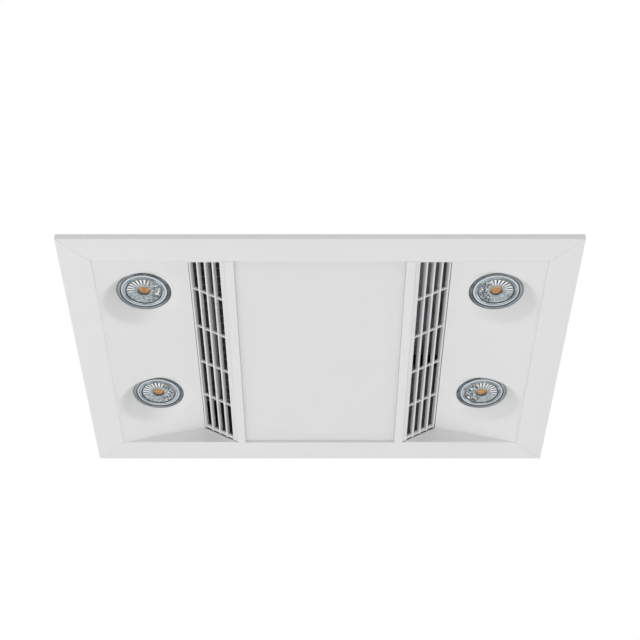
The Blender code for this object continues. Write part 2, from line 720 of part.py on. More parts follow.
def centre_panel():
    half_x = BAR_INNER - PANEL_GAP
    low = (-half_x, -INNER_Y, CENTRE_RECESS)
    high = (half_x, INNER_Y, CENTRE_RECESS + CENTRE_WALL)
    body = part("centre_panel", box_mesh(low, high), WHITE_ENAMEL)
    tabs = [side * CENTRE_TAB_X for side in SIDES.values()]
    weld(body, end_tabs(tabs, CENTRE_RECESS + CENTRE_WALL / 2))


# Lamps
def lamp_body_mesh():
    """Rim, finned waist and base in one turned body, hollow for the lens and the chip."""
    lens, chip = LENS_RADIUS + SEAT_GAP, CHIP_RADIUS + SEAT_GAP
    lens_floor = LAMP_FACE + LENS_DEPTH + LENS_SEAT
    chip_floor = lens_floor + CHIP_DEPTH + SEAT_GAP
    profile = [(0, LAMP_TOP), (LAMP_BASE_RADIUS, LAMP_TOP), (LAMP_BASE_RADIUS, LAMP_TOP - PIN_LENGTH),
               (LAMP_WAIST_RADIUS, LAMP_FACE + LAMP_WAIST_HEIGHT),
               (LAMP_RADIUS - LAMP_RIM, LAMP_FACE + LAMP_SKIRT), (LAMP_RADIUS, LAMP_FACE + LAMP_RIM),
               (LAMP_RADIUS, LAMP_FACE), (lens, LAMP_FACE), (lens, lens_floor), (chip, lens_floor),
               (chip, chip_floor), (0, chip_floor)]
    return turned_mesh(profile, LAMP_SIDES)


def lamp_pins_mesh():
    """Two headed pins that stand up from the lamp's base."""
    foot = LAMP_TOP - OVERRUN / 2
    neck = LAMP_TOP + PIN_LENGTH
    profile = [(0, neck + PIN_HEAD), (PIN_HEAD_RADIUS, neck + PIN_HEAD), (PIN_HEAD_RADIUS, neck),
               (PIN_RADIUS, neck), (PIN_RADIUS, foot), (0, foot)]
    pin = turned_mesh(profile, SHAFT_SIDES)
    return gathered([placed(pin, Matrix.Translation((side * PIN_SPREAD, 0, 0))) for side in SIDES.values()])


def holder_slots_mesh():
    """Two curved slots in a holder's underside, in which the pins turn by the lamp's twist."""
    half = PIN_HEAD_RADIUS + HOLDER_SLOT_GAP
    slots = []
    for first in (0, 180):
        last = first + LAMP_TWIST
        heads = [(PIN_SPREAD * math.cos(math.radians(turn)), PIN_SPREAD * math.sin(math.radians(turn)))
                 for turn in (first, last)]
        outline = (arc(heads[0], half, first - 180, first, 5)
                   + arc((0, 0), PIN_SPREAD + half, first, last, 4)
                   + arc(heads[1], half, last, last + 180, 5)
                   + arc((0, 0), PIN_SPREAD - half, last, first, 4))
        slots.append(outline_mesh([outline], HOLDER_SLOT * 2, centre=(0, 0, HOLDER_BOTTOM)))
    return gathered(slots)


def lamps():
    body, pins = lamp_body_mesh(), lamp_pins_mesh()
    lens_top = LAMP_FACE + SEAT_GAP + LENS_DEPTH
    chip_top = lens_top + CHIP_DEPTH + SEAT_GAP
    lens = turned_mesh([(0, lens_top), (LENS_RADIUS, lens_top), (LENS_RADIUS, LAMP_FACE + SEAT_GAP),
                        (0, LAMP_FACE + SEAT_GAP)], LAMP_SIDES)
    chip = rod_mesh(CHIP_RADIUS, (0, 0, chip_top - CHIP_DEPTH), CHIP_DEPTH, "Z", SHAFT_SIDES)
    holder = rod_mesh(HOLDER_RADIUS, (0, 0, HOLDER_BOTTOM), HOLDER_HEIGHT, "Z", LAMP_SIDES)
    for end_name, end in ENDS.items():
        for side_name, side in SIDES.items():
            spot = (side * LAMP_X, end * LAMP_Y, 0)
            label = f"{end_name}_{side_name}"
            lamp = part(f"lamp_body_{label}", body.copy(), DARK_METAL, spot)
            weld(lamp, pins, spot)
            part(f"lamp_lens_{label}", lens.copy(), CLEAR_LENS, spot)
            part(f"lamp_chip_{label}", chip.copy(), AMBER, spot)
            socket = part(f"lamp_holder_{label}", holder.copy(), CERAMIC, spot)
            cut(socket, holder_slots_mesh(), spot)


def lamp_bracket(name, side):
    """An angle on the housing's side wall, over two lamp holders."""
    wall = HOUSING_X - HOUSING_SHEET - SEAT_GAP
    inner, edge = wall - BRACKET_SHEET, LAMP_X - BRACKET_INNER
    fold = BRACKET_BOTTOM + BRACKET_SHEET
    section = [(edge, BRACKET_BOTTOM), (wall, BRACKET_BOTTOM), (wall, BRACKET_TOP),
               (inner, BRACKET_TOP), (inner, fold), (edge, fold)]
    mirrored = [(side * x, z) for x, z in section]
    length = (LAMP_Y + BRACKET_BEYOND) * 2
    part(f"lamp_bracket_{name}", outline_mesh([mirrored], length, PLANE_XZ), ZINC_STEEL)


# Housing
def motor_screw_spots():
    return circle(MOTOR_SCREW_RADIUS, MOTOR_SCREW_COUNT, (EXHAUST_X, EXHAUST_Y))


def motor_screw_holes():
    """Cutters for the motor's screws, from a screw's length below the housing's top."""
    bottom = HOUSING_TOP - SCREW_LENGTH - SEAT_GAP
    return gathered([rod_mesh(HOLE_RADIUS, (x, y, bottom), SCREW_LENGTH + OVERRUN, "Z", SCREW_SIDES)
                     for x, y in motor_screw_spots()])


def housing_box():
    """Folded box, open below, with a flange turned out round its foot."""
    foot = RAIL_HEIGHT - HOUSING_SHEET / 2
    outside = box_mesh((-HOUSING_X, -HOUSING_Y, foot), (HOUSING_X, HOUSING_Y, HOUSING_TOP))
    body = part("housing_shell", outside, ZINC_STEEL)
    inner_x, inner_y = HOUSING_X - HOUSING_SHEET, HOUSING_Y - HOUSING_SHEET
    flange = [rectangle(HOUSING_X + HOUSING_FLANGE, HOUSING_Y + HOUSING_FLANGE),
              rectangle(inner_x - HOUSING_SHEET, inner_y - HOUSING_SHEET)]
    weld(body, outline_mesh(flange, HOUSING_SHEET, centre=(0, 0, foot)))
    cut(body, box_mesh((-inner_x, -inner_y, -OVERRUN), (inner_x, inner_y, HOUSING_TOP - HOUSING_SHEET)))
    return body


def clamp_spots():
    return [(side * CLAMP_X, end * CLAMP_Y, side, end) for end in ENDS.values() for side in SIDES.values()]


def clamp_tabs():
    """Small plates bent in from the housing's end walls, each of which carries a clamp screw."""
    tabs = []
    for x, y, side, end in clamp_spots():
        edges = sorted((y - end * CLAMP_TAB_HALF, end * (HOUSING_Y - HOUSING_SHEET / 2)))
        low = (x - CLAMP_TAB_HALF, edges[0], CLAMP_TAB)
        high = (x + CLAMP_TAB_HALF, edges[1], CLAMP_TAB + HOUSING_SHEET)
        tabs.append(box_mesh(low, high))
    return gathered(tabs)


def clamp_windows():
    """Windows in the end walls, up to the tabs, through which the dogs swing and travel."""
    reach = CLAMP_INSET / math.tan(math.asin(CLAMP_INSET / DOG_LENGTH)) + DOG_WIDTH / 2
    windows = []
    for x, y, side, end in clamp_spots():
        ends_x = sorted((x - side * (reach + WINDOW_MARGIN), x + side * (DOG_WIDTH / 2 + WINDOW_MARGIN)))
        ends_y = sorted((end * (HOUSING_Y - WALL_CUT), end * (HOUSING_Y + WALL_CUT)))
        low, high = (ends_x[0], ends_y[0], WINDOW_BOTTOM), (ends_x[1], ends_y[1], CLAMP_TAB)
        windows.append(box_mesh(low, high))
    return gathered(windows)


def clamp_screw_holes():
    radius = CLAMP_SCREW_RADIUS + SHAFT_GAP
    start = CLAMP_TAB - OVERRUN
    return gathered([rod_mesh(radius, (x, y, start), OVERRUN * 2, "Z", SHAFT_SIDES)
                     for x, y, side, end in clamp_spots()])


def housing():
    body = housing_box()
    weld(body, clamp_tabs())
    cut(body, clamp_windows())
    cut(body, clamp_screw_holes())
    outlet = (SPIGOT_X, HOUSING_Y - OVERRUN, SPIGOT_HEIGHT)
    cut(body, rod_mesh(SPIGOT_RADIUS - SPIGOT_WALL, outlet, OVERRUN * 2, "Y", SPIGOT_SIDES))
    cut(body, motor_screw_holes())
    inlet = (-HOUSING_X - OVERRUN, 0, GLAND_HEIGHT)
    cut(body, rod_mesh(GLAND_RADIUS + SEAT_GAP, inlet, OVERRUN * 2, "X", SHAFT_SIDES))


def motor_screws():
    """Screws through the housing's top and the scroll's plate into the exhaust motor."""
    for number, (x, y) in enumerate(motor_screw_spots(), start=1):
        part(f"motor_screw_{number}", screw_mesh(), ZINC_STEEL, (x, y, HOUSING_TOP + MOTOR_SCREW_GAP))


# Exhaust blower
def scroll_path():
    """Middle line of the scroll's wall: outlet side, rounded tongue, spiral, outlet side."""
    start_angle = math.radians(SCROLL_START_ANGLE)
    wall_y = HOUSING_Y - HOUSING_SHEET - SEAT_GAP
    outwards_from_middle = Vector((math.cos(start_angle), math.sin(start_angle)))
    nose = Vector((EXHAUST_X, EXHAUST_Y)) + (SCROLL_START + SCROLL_NOSE) * outwards_from_middle
    spiral = []
    for index in range(1, SCROLL_STEPS + 1):
        share = index / SCROLL_STEPS
        angle = start_angle + (math.tau - start_angle) * share
        radius = SCROLL_START + (SCROLL_END - SCROLL_START) * share
        spiral.append((EXHAUST_X + radius * math.cos(angle), EXHAUST_Y + radius * math.sin(angle)))
    tongue = [(nose.x + SCROLL_NOSE, wall_y)] + arc(nose, SCROLL_NOSE, 0, SCROLL_START_ANGLE - 180, 6)
    return tongue + spiral + [(EXHAUST_X + SCROLL_END, wall_y)]


def exhaust_scroll():
    """Spiral wall and top plate, hung under the housing's top."""
    wall_top = CEILING_UNDER - SCROLL_WALL / 2
    height = wall_top - SCROLL_BOTTOM
    strip = thick_path(scroll_path(), SCROLL_WALL)
    wall = outline_mesh([strip], height, centre=(0, 0, SCROLL_BOTTOM + height / 2))
    body = part("exhaust_scroll", wall, ZINC_STEEL)
    weld(body, outline_mesh([scroll_path()], SCROLL_WALL, centre=(0, 0, wall_top)))
    cut(body, motor_screw_holes())


def exhaust_inlet_plate():
    """Bottom plate with a lipped inlet."""
    strip = thick_path(scroll_path(), SCROLL_WALL)
    edge = strip[len(strip) // 2:]
    middle = (EXHAUST_X, EXHAUST_Y)
    top = SCROLL_BOTTOM - SEAT_GAP
    plate = outline_mesh([edge, circle(INLET_RADIUS + SCROLL_WALL / 2, WHEEL_SIDES, middle)], SCROLL_WALL,
                         centre=(0, 0, top - SCROLL_WALL / 2))
    body = part("exhaust_inlet_plate", plate, ZINC_STEEL)
    outer, foot = INLET_RADIUS + SCROLL_WALL, top - SCROLL_WALL - MITRE_GAP
    lip = [(outer, top + INLET_LIP), (outer, foot), (INLET_RADIUS, foot), (INLET_RADIUS, top + INLET_LIP)]
    weld(body, turned_mesh(lip, WHEEL_SIDES), (EXHAUST_X, EXHAUST_Y, 0))


def blade_ring(count, outer, depth, thickness, length, bottom):
    """A ring of curved forward-leaning blades that stand on a height."""
    inner = outer - depth
    path = [(inner, 0), ((inner + outer) / 2, depth * BLADE_SAG_SHARE),
            (outer, depth * BLADE_LEAN_SHARE)]
    outline = thick_path(path, thickness)
    blade = outline_mesh([outline], length, centre=(0, 0, bottom + length / 2))
    lean = depth / outer / 2
    return gathered([placed(blade, Matrix.Rotation(math.tau * index / count - lean, 4, "Z"))
                     for index in range(count)])


def exhaust_impeller():
    """Bladed wheel whose back plate is dished round the motor."""
    rim = WHEEL_RADIUS + WHEEL_PLATE / 2
    plate = WHEEL_PLATE
    dish = WHEEL_DISH_RADIUS
    floor = WHEEL_DISH_FLOOR
    boss = floor - WHEEL_HUB_HEIGHT + plate
    profile = [(rim, WHEEL_TOP), (rim, WHEEL_TOP - plate), (dish, WHEEL_TOP - plate), (dish, floor),
               (WHEEL_HUB_RADIUS, floor), (WHEEL_HUB_RADIUS, boss), (SHAFT_BORE, boss),
               (SHAFT_BORE, floor + plate), (dish - plate, floor + plate), (dish - plate, WHEEL_TOP)]
    place = (EXHAUST_X, EXHAUST_Y, 0)
    body = part("exhaust_impeller", turned_mesh(profile, WHEEL_SIDES), BLACK_PLASTIC, place)
    length = WHEEL_TOP - WHEEL_BOTTOM - plate
    blades = blade_ring(WHEEL_BLADES, WHEEL_RADIUS, WHEEL_BLADE_DEPTH, WHEEL_BLADE, length,
                        WHEEL_BOTTOM + plate / 2)
    weld(body, blades, place)
    ring_inner = WHEEL_RADIUS - WHEEL_BLADE_DEPTH - WHEEL_BLADE
    ring = [(rim, WHEEL_BOTTOM + plate), (rim, WHEEL_BOTTOM), (ring_inner, WHEEL_BOTTOM),
            (ring_inner, WHEEL_BOTTOM + plate)]
    weld(body, turned_mesh(ring, WHEEL_SIDES), place)


def exhaust_drive():
    """Motor under the scroll's top plate, and the shaft that carries the wheel."""
    place = (EXHAUST_X, EXHAUST_Y, 0)
    bore_top = MOTOR_TOP - MOTOR_TALL / 2
    profile = [(0, MOTOR_TOP), (MOTOR_RADIUS, MOTOR_TOP), (MOTOR_RADIUS, MOTOR_BOTTOM + MOTOR_BOSS),
               (MOTOR_BOSS_RADIUS, MOTOR_BOTTOM + MOTOR_BOSS), (MOTOR_BOSS_RADIUS, MOTOR_BOTTOM),
               (SHAFT_BORE, MOTOR_BOTTOM), (SHAFT_BORE, bore_top), (0, bore_top)]
    body = part("exhaust_motor", turned_mesh(profile, LAMP_SIDES), MOTOR_STEEL, place)
    cut(body, motor_screw_holes())
    bottom = WHEEL_DISH_FLOOR - WHEEL_HUB_HEIGHT
    shaft = rod_mesh(SHAFT_RADIUS, (0, 0, bottom), bore_top - SEAT_GAP - bottom, "Z", SHAFT_SIDES)
    part("exhaust_shaft", shaft, ZINC_STEEL, place)


# Duct spigot and draught flap
def duct_spigot():
    """Round spigot on the far wall, turned about Z and then laid along Y."""
    inner = SPIGOT_RADIUS - SPIGOT_WALL
    profile = [(inner, SPIGOT_LENGTH), (SPIGOT_RADIUS, SPIGOT_LENGTH),
               (SPIGOT_RADIUS, SPIGOT_BEAD_AT + SPIGOT_BEAD_HALF),
               (SPIGOT_RADIUS + SPIGOT_BEAD, SPIGOT_BEAD_AT),
               (SPIGOT_RADIUS, SPIGOT_BEAD_AT - SPIGOT_BEAD_HALF),
               (SPIGOT_RADIUS, SPIGOT_WALL), (SPIGOT_FLANGE, SPIGOT_WALL), (SPIGOT_FLANGE, 0), (inner, 0)]
    place = (SPIGOT_X, HOUSING_Y + SEAT_GAP, SPIGOT_HEIGHT)
    body = part("duct_spigot", turned_mesh(profile, SPIGOT_SIDES), ZINC_STEEL, place, LAID)
    stop_y = HOUSING_Y + FLAP_SETBACK - FLAP_THICKNESS / 2 - SEAT_GAP
    low = (SPIGOT_X - FLAP_STOP, stop_y - SPIGOT_WALL, SPIGOT_HEIGHT - SPIGOT_RADIUS + SPIGOT_WALL / 2)
    high = (SPIGOT_X + FLAP_STOP, stop_y, low[2] + FLAP_STOP)
    weld(body, box_mesh(low, high))
    pin_start = (SPIGOT_X - SPIGOT_FLANGE, HOUSING_Y + FLAP_SETBACK, SPIGOT_HEIGHT + FLAP_RISE)
    cut(body, rod_mesh(FLAP_PIN_RADIUS + SHAFT_GAP, pin_start, SPIGOT_FLANGE * 2, "X", SHAFT_SIDES))


def draught_flap():
    """Round plate with a sleeve on a pin above its middle, so that it falls shut."""
    axis = (SPIGOT_X, HOUSING_Y + FLAP_SETBACK, SPIGOT_HEIGHT + FLAP_RISE)
    radius = SPIGOT_RADIUS - SPIGOT_WALL - FLAP_GAP
    plate = rod_mesh(radius, (0, -FLAP_THICKNESS / 2, -FLAP_RISE), FLAP_THICKNESS, "Y", SPIGOT_SIDES)
    body = part("draught_flap", plate, ALUMINIUM, axis)
    weld(body, rod_mesh(FLAP_SLEEVE, (-FLAP_SLEEVE_HALF, 0, 0), FLAP_SLEEVE_HALF * 2, "X", SHAFT_SIDES), axis)
    bore = rod_mesh(FLAP_PIN_RADIUS + SHAFT_GAP, (-SPIGOT_RADIUS, 0, 0), SPIGOT_RADIUS * 2, "X", SHAFT_SIDES)
    cut(body, bore, axis)
    half = math.sqrt(SPIGOT_RADIUS ** 2 - FLAP_RISE ** 2) - SEAT_GAP
    part("flap_pin", rod_mesh(FLAP_PIN_RADIUS, (-half, 0, 0), half * 2, "X", SHAFT_SIDES), ZINC_STEEL, axis)


# Heater blower and element
def casing_paths():
    """Middle lines of the heater's rear wall and front wall, seen along the fan's axis."""
    middle = (-HEATER_X, HEATER_HEIGHT)
    rear = [(-DUCT_OUTER, HEATER_BOTTOM)]
    for index in range(CASING_STEPS + 1):
        share = index / CASING_STEPS
        angle = math.radians(180 + (CASING_START_ANGLE - 180) * share)
        radius = (DUCT_OUTER - HEATER_X) + (CASING_START - DUCT_OUTER + HEATER_X) * share
        rear.append((middle[0] + radius * math.cos(angle), middle[1] + radius * math.sin(angle)))
    duct_top = HEATER_HEIGHT - DUCT_DROP
    nose = arc(middle, CASING_START, NOSE_START_ANGLE, NOSE_END_ANGLE, 3)
    front = [(-DUCT_INNER, HEATER_BOTTOM), (-DUCT_INNER, duct_top)] + nose
    return rear, front


def end_plate_outline():
    """A hanging end plate: round the casing below, a strap to the housing's top above."""
    left, right = -DUCT_OUTER - PLATE_MARGIN, -DUCT_INNER + PLATE_MARGIN
    crown = HEATER_HEIGHT + CASING_START + PLATE_MARGIN * 2
    outer = -HEATER_X + CASING_START + PLATE_MARGIN
    neck = HEATER_HEIGHT - DUCT_DROP - PLATE_MARGIN
    shoulder = HEATER_HEIGHT + HANGER_HALF
    strap_left, strap_right = -HEATER_X - HANGER_HALF, -HEATER_X + HANGER_HALF
    return [(left, HEATER_BOTTOM), (right, HEATER_BOTTOM), (right, neck),
            (outer, HEATER_HEIGHT - CASING_START), (outer, shoulder), (strap_right, crown),
            (strap_right, CEILING_UNDER), (strap_left, CEILING_UNDER), (strap_left, crown), (left, shoulder)]


def heater_casing():
    """Rear and front wall between two end plates that hang from the housing's top."""
    rear, front = casing_paths()
    length = HEATER_FAR - HEATER_NEAR
    centre = (0, (HEATER_NEAR + HEATER_FAR) / 2, 0)
    walls = [outline_mesh([thick_path(path, HEATER_WALL)], length, PLANE_XZ, centre)
             for path in (rear, front)]
    body = part("heater_casing", gathered(walls), ZINC_STEEL)
    bore = circle(FAN_BORE_RADIUS, SHAFT_SIDES, (-HEATER_X, HEATER_HEIGHT))
    bush_bore = circle(BUSH_RADIUS + SEAT_GAP, SHAFT_SIDES, (-HEATER_X, HEATER_HEIGHT))
    weld(body, outline_mesh([end_plate_outline(), bush_bore], HEATER_PLATE, PLANE_XZ, (0, HEATER_NEAR, 0)))
    weld(body, outline_mesh([end_plate_outline(), bore], HEATER_PLATE, PLANE_XZ, (0, HEATER_FAR, 0)))
    folds = []
    half, fold_top = HANGER_HALF - MITRE_GAP, CEILING_UNDER - MITRE_GAP / 2
    for start in (HEATER_NEAR, HEATER_FAR - HANGER_FOLD):
        folds.append(box_mesh((-HEATER_X - half, start, fold_top - HEATER_PLATE),
                              (-HEATER_X + half, start + HANGER_FOLD, fold_top)))
    weld(body, gathered(folds))


def fan_disc(bore, middle):
    """A flat ring of the fan, about a height along its axis."""
    rim, half = FAN_RADIUS + FAN_RIM, FAN_DISC / 2
    profile = [(rim, middle + half), (rim, middle - half), (bore, middle - half), (bore, middle + half)]
    return turned_mesh(profile, FAN_SIDES)


def heater_fan():
    """Cross-flow impeller on its shaft: two end discs and a middle ring that hold the blades."""
    start = HEATER_NEAR + HEATER_PLATE / 2 + FAN_END_GAP
    length = HEATER_FAR - HEATER_PLATE / 2 - FAN_END_GAP - start
    axis = (-HEATER_X, start, HEATER_HEIGHT)
    body = part("heater_impeller", fan_disc(SHAFT_BORE, FAN_DISC / 2), ALUMINIUM, axis, LAID)
    blades = blade_ring(FAN_BLADES, FAN_RADIUS - FAN_RIM, FAN_BLADE_DEPTH, FAN_BLADE, length - FAN_DISC,
                        FAN_DISC / 2)
    weld(body, blades, axis, LAID)
    weld(body, fan_disc(SHAFT_BORE, length - FAN_DISC / 2), axis, LAID)
    weld(body, fan_disc(FAN_RADIUS - FAN_BLADE_DEPTH - FAN_DISC, length / 2), axis, LAID)
    shaft_start = HEATER_NEAR - FAN_SHAFT_REACH - start
    shaft_end = HEATER_FAR + FAN_MOTOR_LENGTH / 2 - start
    shaft = rod_mesh(FAN_SHAFT_RADIUS, (0, shaft_start, 0), shaft_end - shaft_start, "Y", SHAFT_SIDES)
    part("heater_shaft", shaft, ZINC_STEEL, axis)


def heater_motor():
    face = HEATER_FAR + HEATER_PLATE / 2 + SEAT_GAP
    bore_depth = FAN_MOTOR_LENGTH / 2 + SEAT_GAP
    profile = [(0, FAN_MOTOR_LENGTH), (FAN_MOTOR_RADIUS, FAN_MOTOR_LENGTH), (FAN_MOTOR_RADIUS, 0),
               (SHAFT_BORE, 0), (SHAFT_BORE, bore_depth), (0, bore_depth)]
    place = (-HEATER_X, face, HEATER_HEIGHT)
    part("heater_motor", turned_mesh(profile, LAMP_SIDES), MOTOR_STEEL, place, LAID)


def heater_bush():
    """Flanged bush in the near end plate, round the shaft's free end."""
    body = HEATER_PLATE + SEAT_GAP * 2
    profile = [(BUSH_RADIUS, body), (BUSH_RADIUS, 0), (BUSH_FLANGE, 0), (BUSH_FLANGE, -HEATER_PLATE),
               (SHAFT_BORE, -HEATER_PLATE), (SHAFT_BORE, body)]
    place = (-HEATER_X, HEATER_NEAR - HEATER_PLATE / 2 - SEAT_GAP, HEATER_HEIGHT)
    part("heater_bush", turned_mesh(profile, SHAFT_SIDES), BRASS, place, LAID)


def heating_element():
    """Finned block in a frame, across the duct."""
    low_x, high_x = -DUCT_OUTER + ELEMENT_INSET / 2, -DUCT_INNER - ELEMENT_INSET / 2
    low_y, high_y = HEATER_NEAR + ELEMENT_INSET / 2, HEATER_FAR - ELEMENT_INSET / 2
    middle = ((low_x + high_x) / 2, (low_y + high_y) / 2)
    half_x, half_y = (high_x - low_x) / 2, (high_y - low_y) / 2
    height = ELEMENT_BOTTOM + ELEMENT_HEIGHT / 2
    edges = [rectangle(half_x, half_y), rectangle(half_x - ELEMENT_FRAME, half_y - ELEMENT_FRAME)]
    part("element_frame", outline_mesh(edges, ELEMENT_HEIGHT, centre=(*middle, height)), BLACK_PLASTIC)
    inner_x = half_x - ELEMENT_FRAME - SEAT_GAP
    inner_y = half_y - ELEMENT_FRAME - SEAT_GAP
    pitch = (inner_y * 2 - ELEMENT_FIN) / ELEMENT_FINS
    comb = []
    for index in range(ELEMENT_FINS + 1):
        low = -inner_y + index * pitch
        high = low + ELEMENT_FIN
        comb += [(ELEMENT_SPINE, low), (inner_x, low), (inner_x, high), (ELEMENT_SPINE, high)]
    outline = comb + [(-x, y) for x, y in reversed(comb)]
    tall = ELEMENT_HEIGHT - ELEMENT_FIN_SETBACK * 2
    part("heater_element", outline_mesh([outline], tall, centre=(*middle, height)), DARK_METAL)
    side = -DUCT_INNER + HEATER_WALL / 2 + SEAT_GAP
    cutout = rod_mesh(CUTOUT_RADIUS, (side, 0, height), CUTOUT_HEIGHT, "X", SHAFT_SIDES)
    part("thermal_cutout", cutout, BLACK_PLASTIC)


# Electrical parts
def terminal_block():
    wall = -HOUSING_X + HOUSING_SHEET + SEAT_GAP
    low = (wall, -TERMINAL_LENGTH / 2, TERMINAL_HEIGHT)
    high = (wall + TERMINAL_DEPTH, TERMINAL_LENGTH / 2, TERMINAL_HEIGHT + TERMINAL_TALL)
    body = part("terminal_block", box_mesh(low, high), CERAMIC)
    pitch = TERMINAL_LENGTH / TERMINAL_WAYS
    middle = TERMINAL_HEIGHT + TERMINAL_TALL / 2
    start = (wall + TERMINAL_DEPTH / 2, pitch / 2 - TERMINAL_LENGTH / 2, middle)
    hole = rod_mesh(TERMINAL_HOLE, start, TERMINAL_DEPTH, "X", SCREW_SIDES)
    cut(body, gathered([placed(hole, Matrix.Translation((0, index * pitch, 0)))
                        for index in range(TERMINAL_WAYS)]))


def terminal_cover():
    """Sheet cover over the terminals and the gland, open to the housing's wall and below."""
    wall = -HOUSING_X + HOUSING_SHEET + SEAT_GAP
    half, far = COVER_LENGTH / 2, wall + COVER_DEPTH
    bottom, top = TERMINAL_HEIGHT - COVER_GAP, TERMINAL_HEIGHT + COVER_TALL
    body = part("terminal_cover", box_mesh((wall, -half, bottom), (far, half, top)), ZINC_STEEL)
    cut(body, box_mesh((wall - OVERRUN, -half + COVER_WALL, bottom - OVERRUN),
                       (far - COVER_WALL, half - COVER_WALL, top - COVER_WALL)))


def cable_gland():
    """Gland through the left wall: outer nut, threaded neck and inner lock nut."""
    inner_end = -HOUSING_SHEET - GLAND_LOCKNUT
    profile = [(GLAND_NUT, GLAND_REACH), (GLAND_NUT, 0), (GLAND_RADIUS, 0), (GLAND_RADIUS, -GLAND_NECK),
               (GLAND_NUT, -GLAND_NECK), (GLAND_NUT, inner_end), (GLAND_BORE, inner_end),
               (GLAND_BORE, GLAND_REACH)]
    place = (-HOUSING_X - SEAT_GAP, 0, GLAND_HEIGHT)
    part("cable_gland", turned_mesh(profile, SHAFT_SIDES), BLACK_PLASTIC, place, (0, math.radians(-90), 0))


# Ceiling clamps
def clamp_screw(label, x, y):
    """Screw held in its tab by a collar under it and a swaged end over it, with its head hanging below."""
    bottom = CLAMP_HEAD_TOP - CLAMP_HEAD
    swage = CLAMP_TAB + HOUSING_SHEET + SEAT_GAP
    collar = CLAMP_TAB - SEAT_GAP
    profile = [(0, swage + CLAMP_COLLAR), (CLAMP_COLLAR_RADIUS, swage + CLAMP_COLLAR),
               (CLAMP_COLLAR_RADIUS, swage), (CLAMP_SCREW_RADIUS, swage), (CLAMP_SCREW_RADIUS, collar),
               (CLAMP_COLLAR_RADIUS, collar), (CLAMP_COLLAR_RADIUS, collar - CLAMP_COLLAR),
               (CLAMP_SCREW_RADIUS, collar - CLAMP_COLLAR), (CLAMP_SCREW_RADIUS, CLAMP_HEAD_TOP),
               (CLAMP_HEAD_RADIUS, CLAMP_HEAD_TOP), (CLAMP_HEAD_RADIUS, bottom), (0, bottom)]
    part(f"clamp_screw_{label}", turned_mesh(profile, SHAFT_SIDES), ZINC_STEEL, (x, y, 0))


def clamp_dog(label, x, y, end):
    """Arm with a bush round the screw, swung out over the ceiling board."""
    bush = rod_mesh(DOG_BUSH_RADIUS, (0, 0, 0), DOG_BUSH_HEIGHT, "Z", SHAFT_SIDES)
    body = part(f"clamp_dog_{label}", bush, BLACK_PLASTIC, (x, y, DOG_BOTTOM))
    ends = sorted((0, end * DOG_LENGTH))
    arm = box_mesh((-DOG_WIDTH / 2, ends[0], SEAT_GAP), (DOG_WIDTH / 2, ends[1], DOG_ARM))
    weld(body, arm, (x, y, DOG_BOTTOM))
    bore = rod_mesh(CLAMP_SCREW_RADIUS + SHAFT_GAP, (0, 0, -OVERRUN), DOG_BUSH_HEIGHT + OVERRUN * 2, "Z",
                    SHAFT_SIDES)
    cut(body, bore, (x, y, DOG_BOTTOM))


def ceiling_clamps():
    for end_name, end in ENDS.items():
        for side_name, side in SIDES.items():
            label = f"{end_name}_{side_name}"
            clamp_screw(label, side * CLAMP_X, end * CLAMP_Y)
            clamp_dog(label, side * CLAMP_X, end * CLAMP_Y, end)


clear_scene()
PARTS = new_collection("bathroom_ceiling_heater")
CUTTERS = new_collection("cutters")
FACE_PLANE = bpy.data.objects.new("face_plane", None)
PARTS.objects.link(FACE_PLANE)
FACE_PLANE.location = (0, 0, -RAIL_HEIGHT)

fascia_frame()
for side_label, side_sign in SIDES.items():
    lamp_panel(side_label, side_sign)
    trim_bar(side_label, side_sign)
    lamp_bracket(side_label, side_sign)
grille("outlet_grille_left", SIDES["left"])
grille("intake_grille_right", SIDES["right"])
centre_panel()
lamps()
housing()
motor_screws()
exhaust_scroll()
exhaust_inlet_plate()
exhaust_impeller()
exhaust_drive()
duct_spigot()
draught_flap()
heater_casing()
heater_fan()
heater_motor()
heater_bush()
heating_element()
terminal_block()
terminal_cover()
cable_gland()
ceiling_clamps()
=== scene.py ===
# %% [markdown]
# # A bathroom ceiling heater, dressed for its picture
# The frame holds every solid of the unit: the fascia that shows below the ceiling and the steel housing
# above it. This lesson lays finer surfaces over the parts that are seen close up, and gives each part a
# finish made of nodes. It starts by loading the frame and noting which body each part rides on.

# %% Load the frame
import itertools
import json
import math

import bmesh
import bpy
import numpy as np
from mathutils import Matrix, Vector


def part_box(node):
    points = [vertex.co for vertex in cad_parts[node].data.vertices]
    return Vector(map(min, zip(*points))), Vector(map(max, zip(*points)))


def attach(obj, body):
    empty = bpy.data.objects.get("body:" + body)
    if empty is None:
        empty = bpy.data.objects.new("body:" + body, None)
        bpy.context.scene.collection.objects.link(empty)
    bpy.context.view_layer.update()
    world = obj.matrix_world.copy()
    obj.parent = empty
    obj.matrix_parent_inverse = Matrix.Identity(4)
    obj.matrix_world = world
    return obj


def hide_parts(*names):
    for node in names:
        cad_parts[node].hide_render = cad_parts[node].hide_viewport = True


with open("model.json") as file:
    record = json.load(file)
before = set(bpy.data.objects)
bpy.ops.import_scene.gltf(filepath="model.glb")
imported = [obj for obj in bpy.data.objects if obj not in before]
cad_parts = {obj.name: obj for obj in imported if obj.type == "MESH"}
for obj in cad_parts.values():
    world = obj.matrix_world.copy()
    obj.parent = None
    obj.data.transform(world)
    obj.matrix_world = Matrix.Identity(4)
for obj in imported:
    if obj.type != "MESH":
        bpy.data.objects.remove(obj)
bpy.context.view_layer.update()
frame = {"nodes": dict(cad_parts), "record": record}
home = {node: body for body, nodes in frame["record"]["behaviour"]["bodies"].items() for node in nodes}

# %% [markdown]
# ## Shader maths
# A finish is a small sum of patterns: a speckle times a strength, plus a streak, and so on. The nodes could
# be placed one by one, but that is long to write and hard to read. So one class wraps a socket, and Python's
# own operators add the Math nodes.

# %% A socket that can be added, multiplied and masked


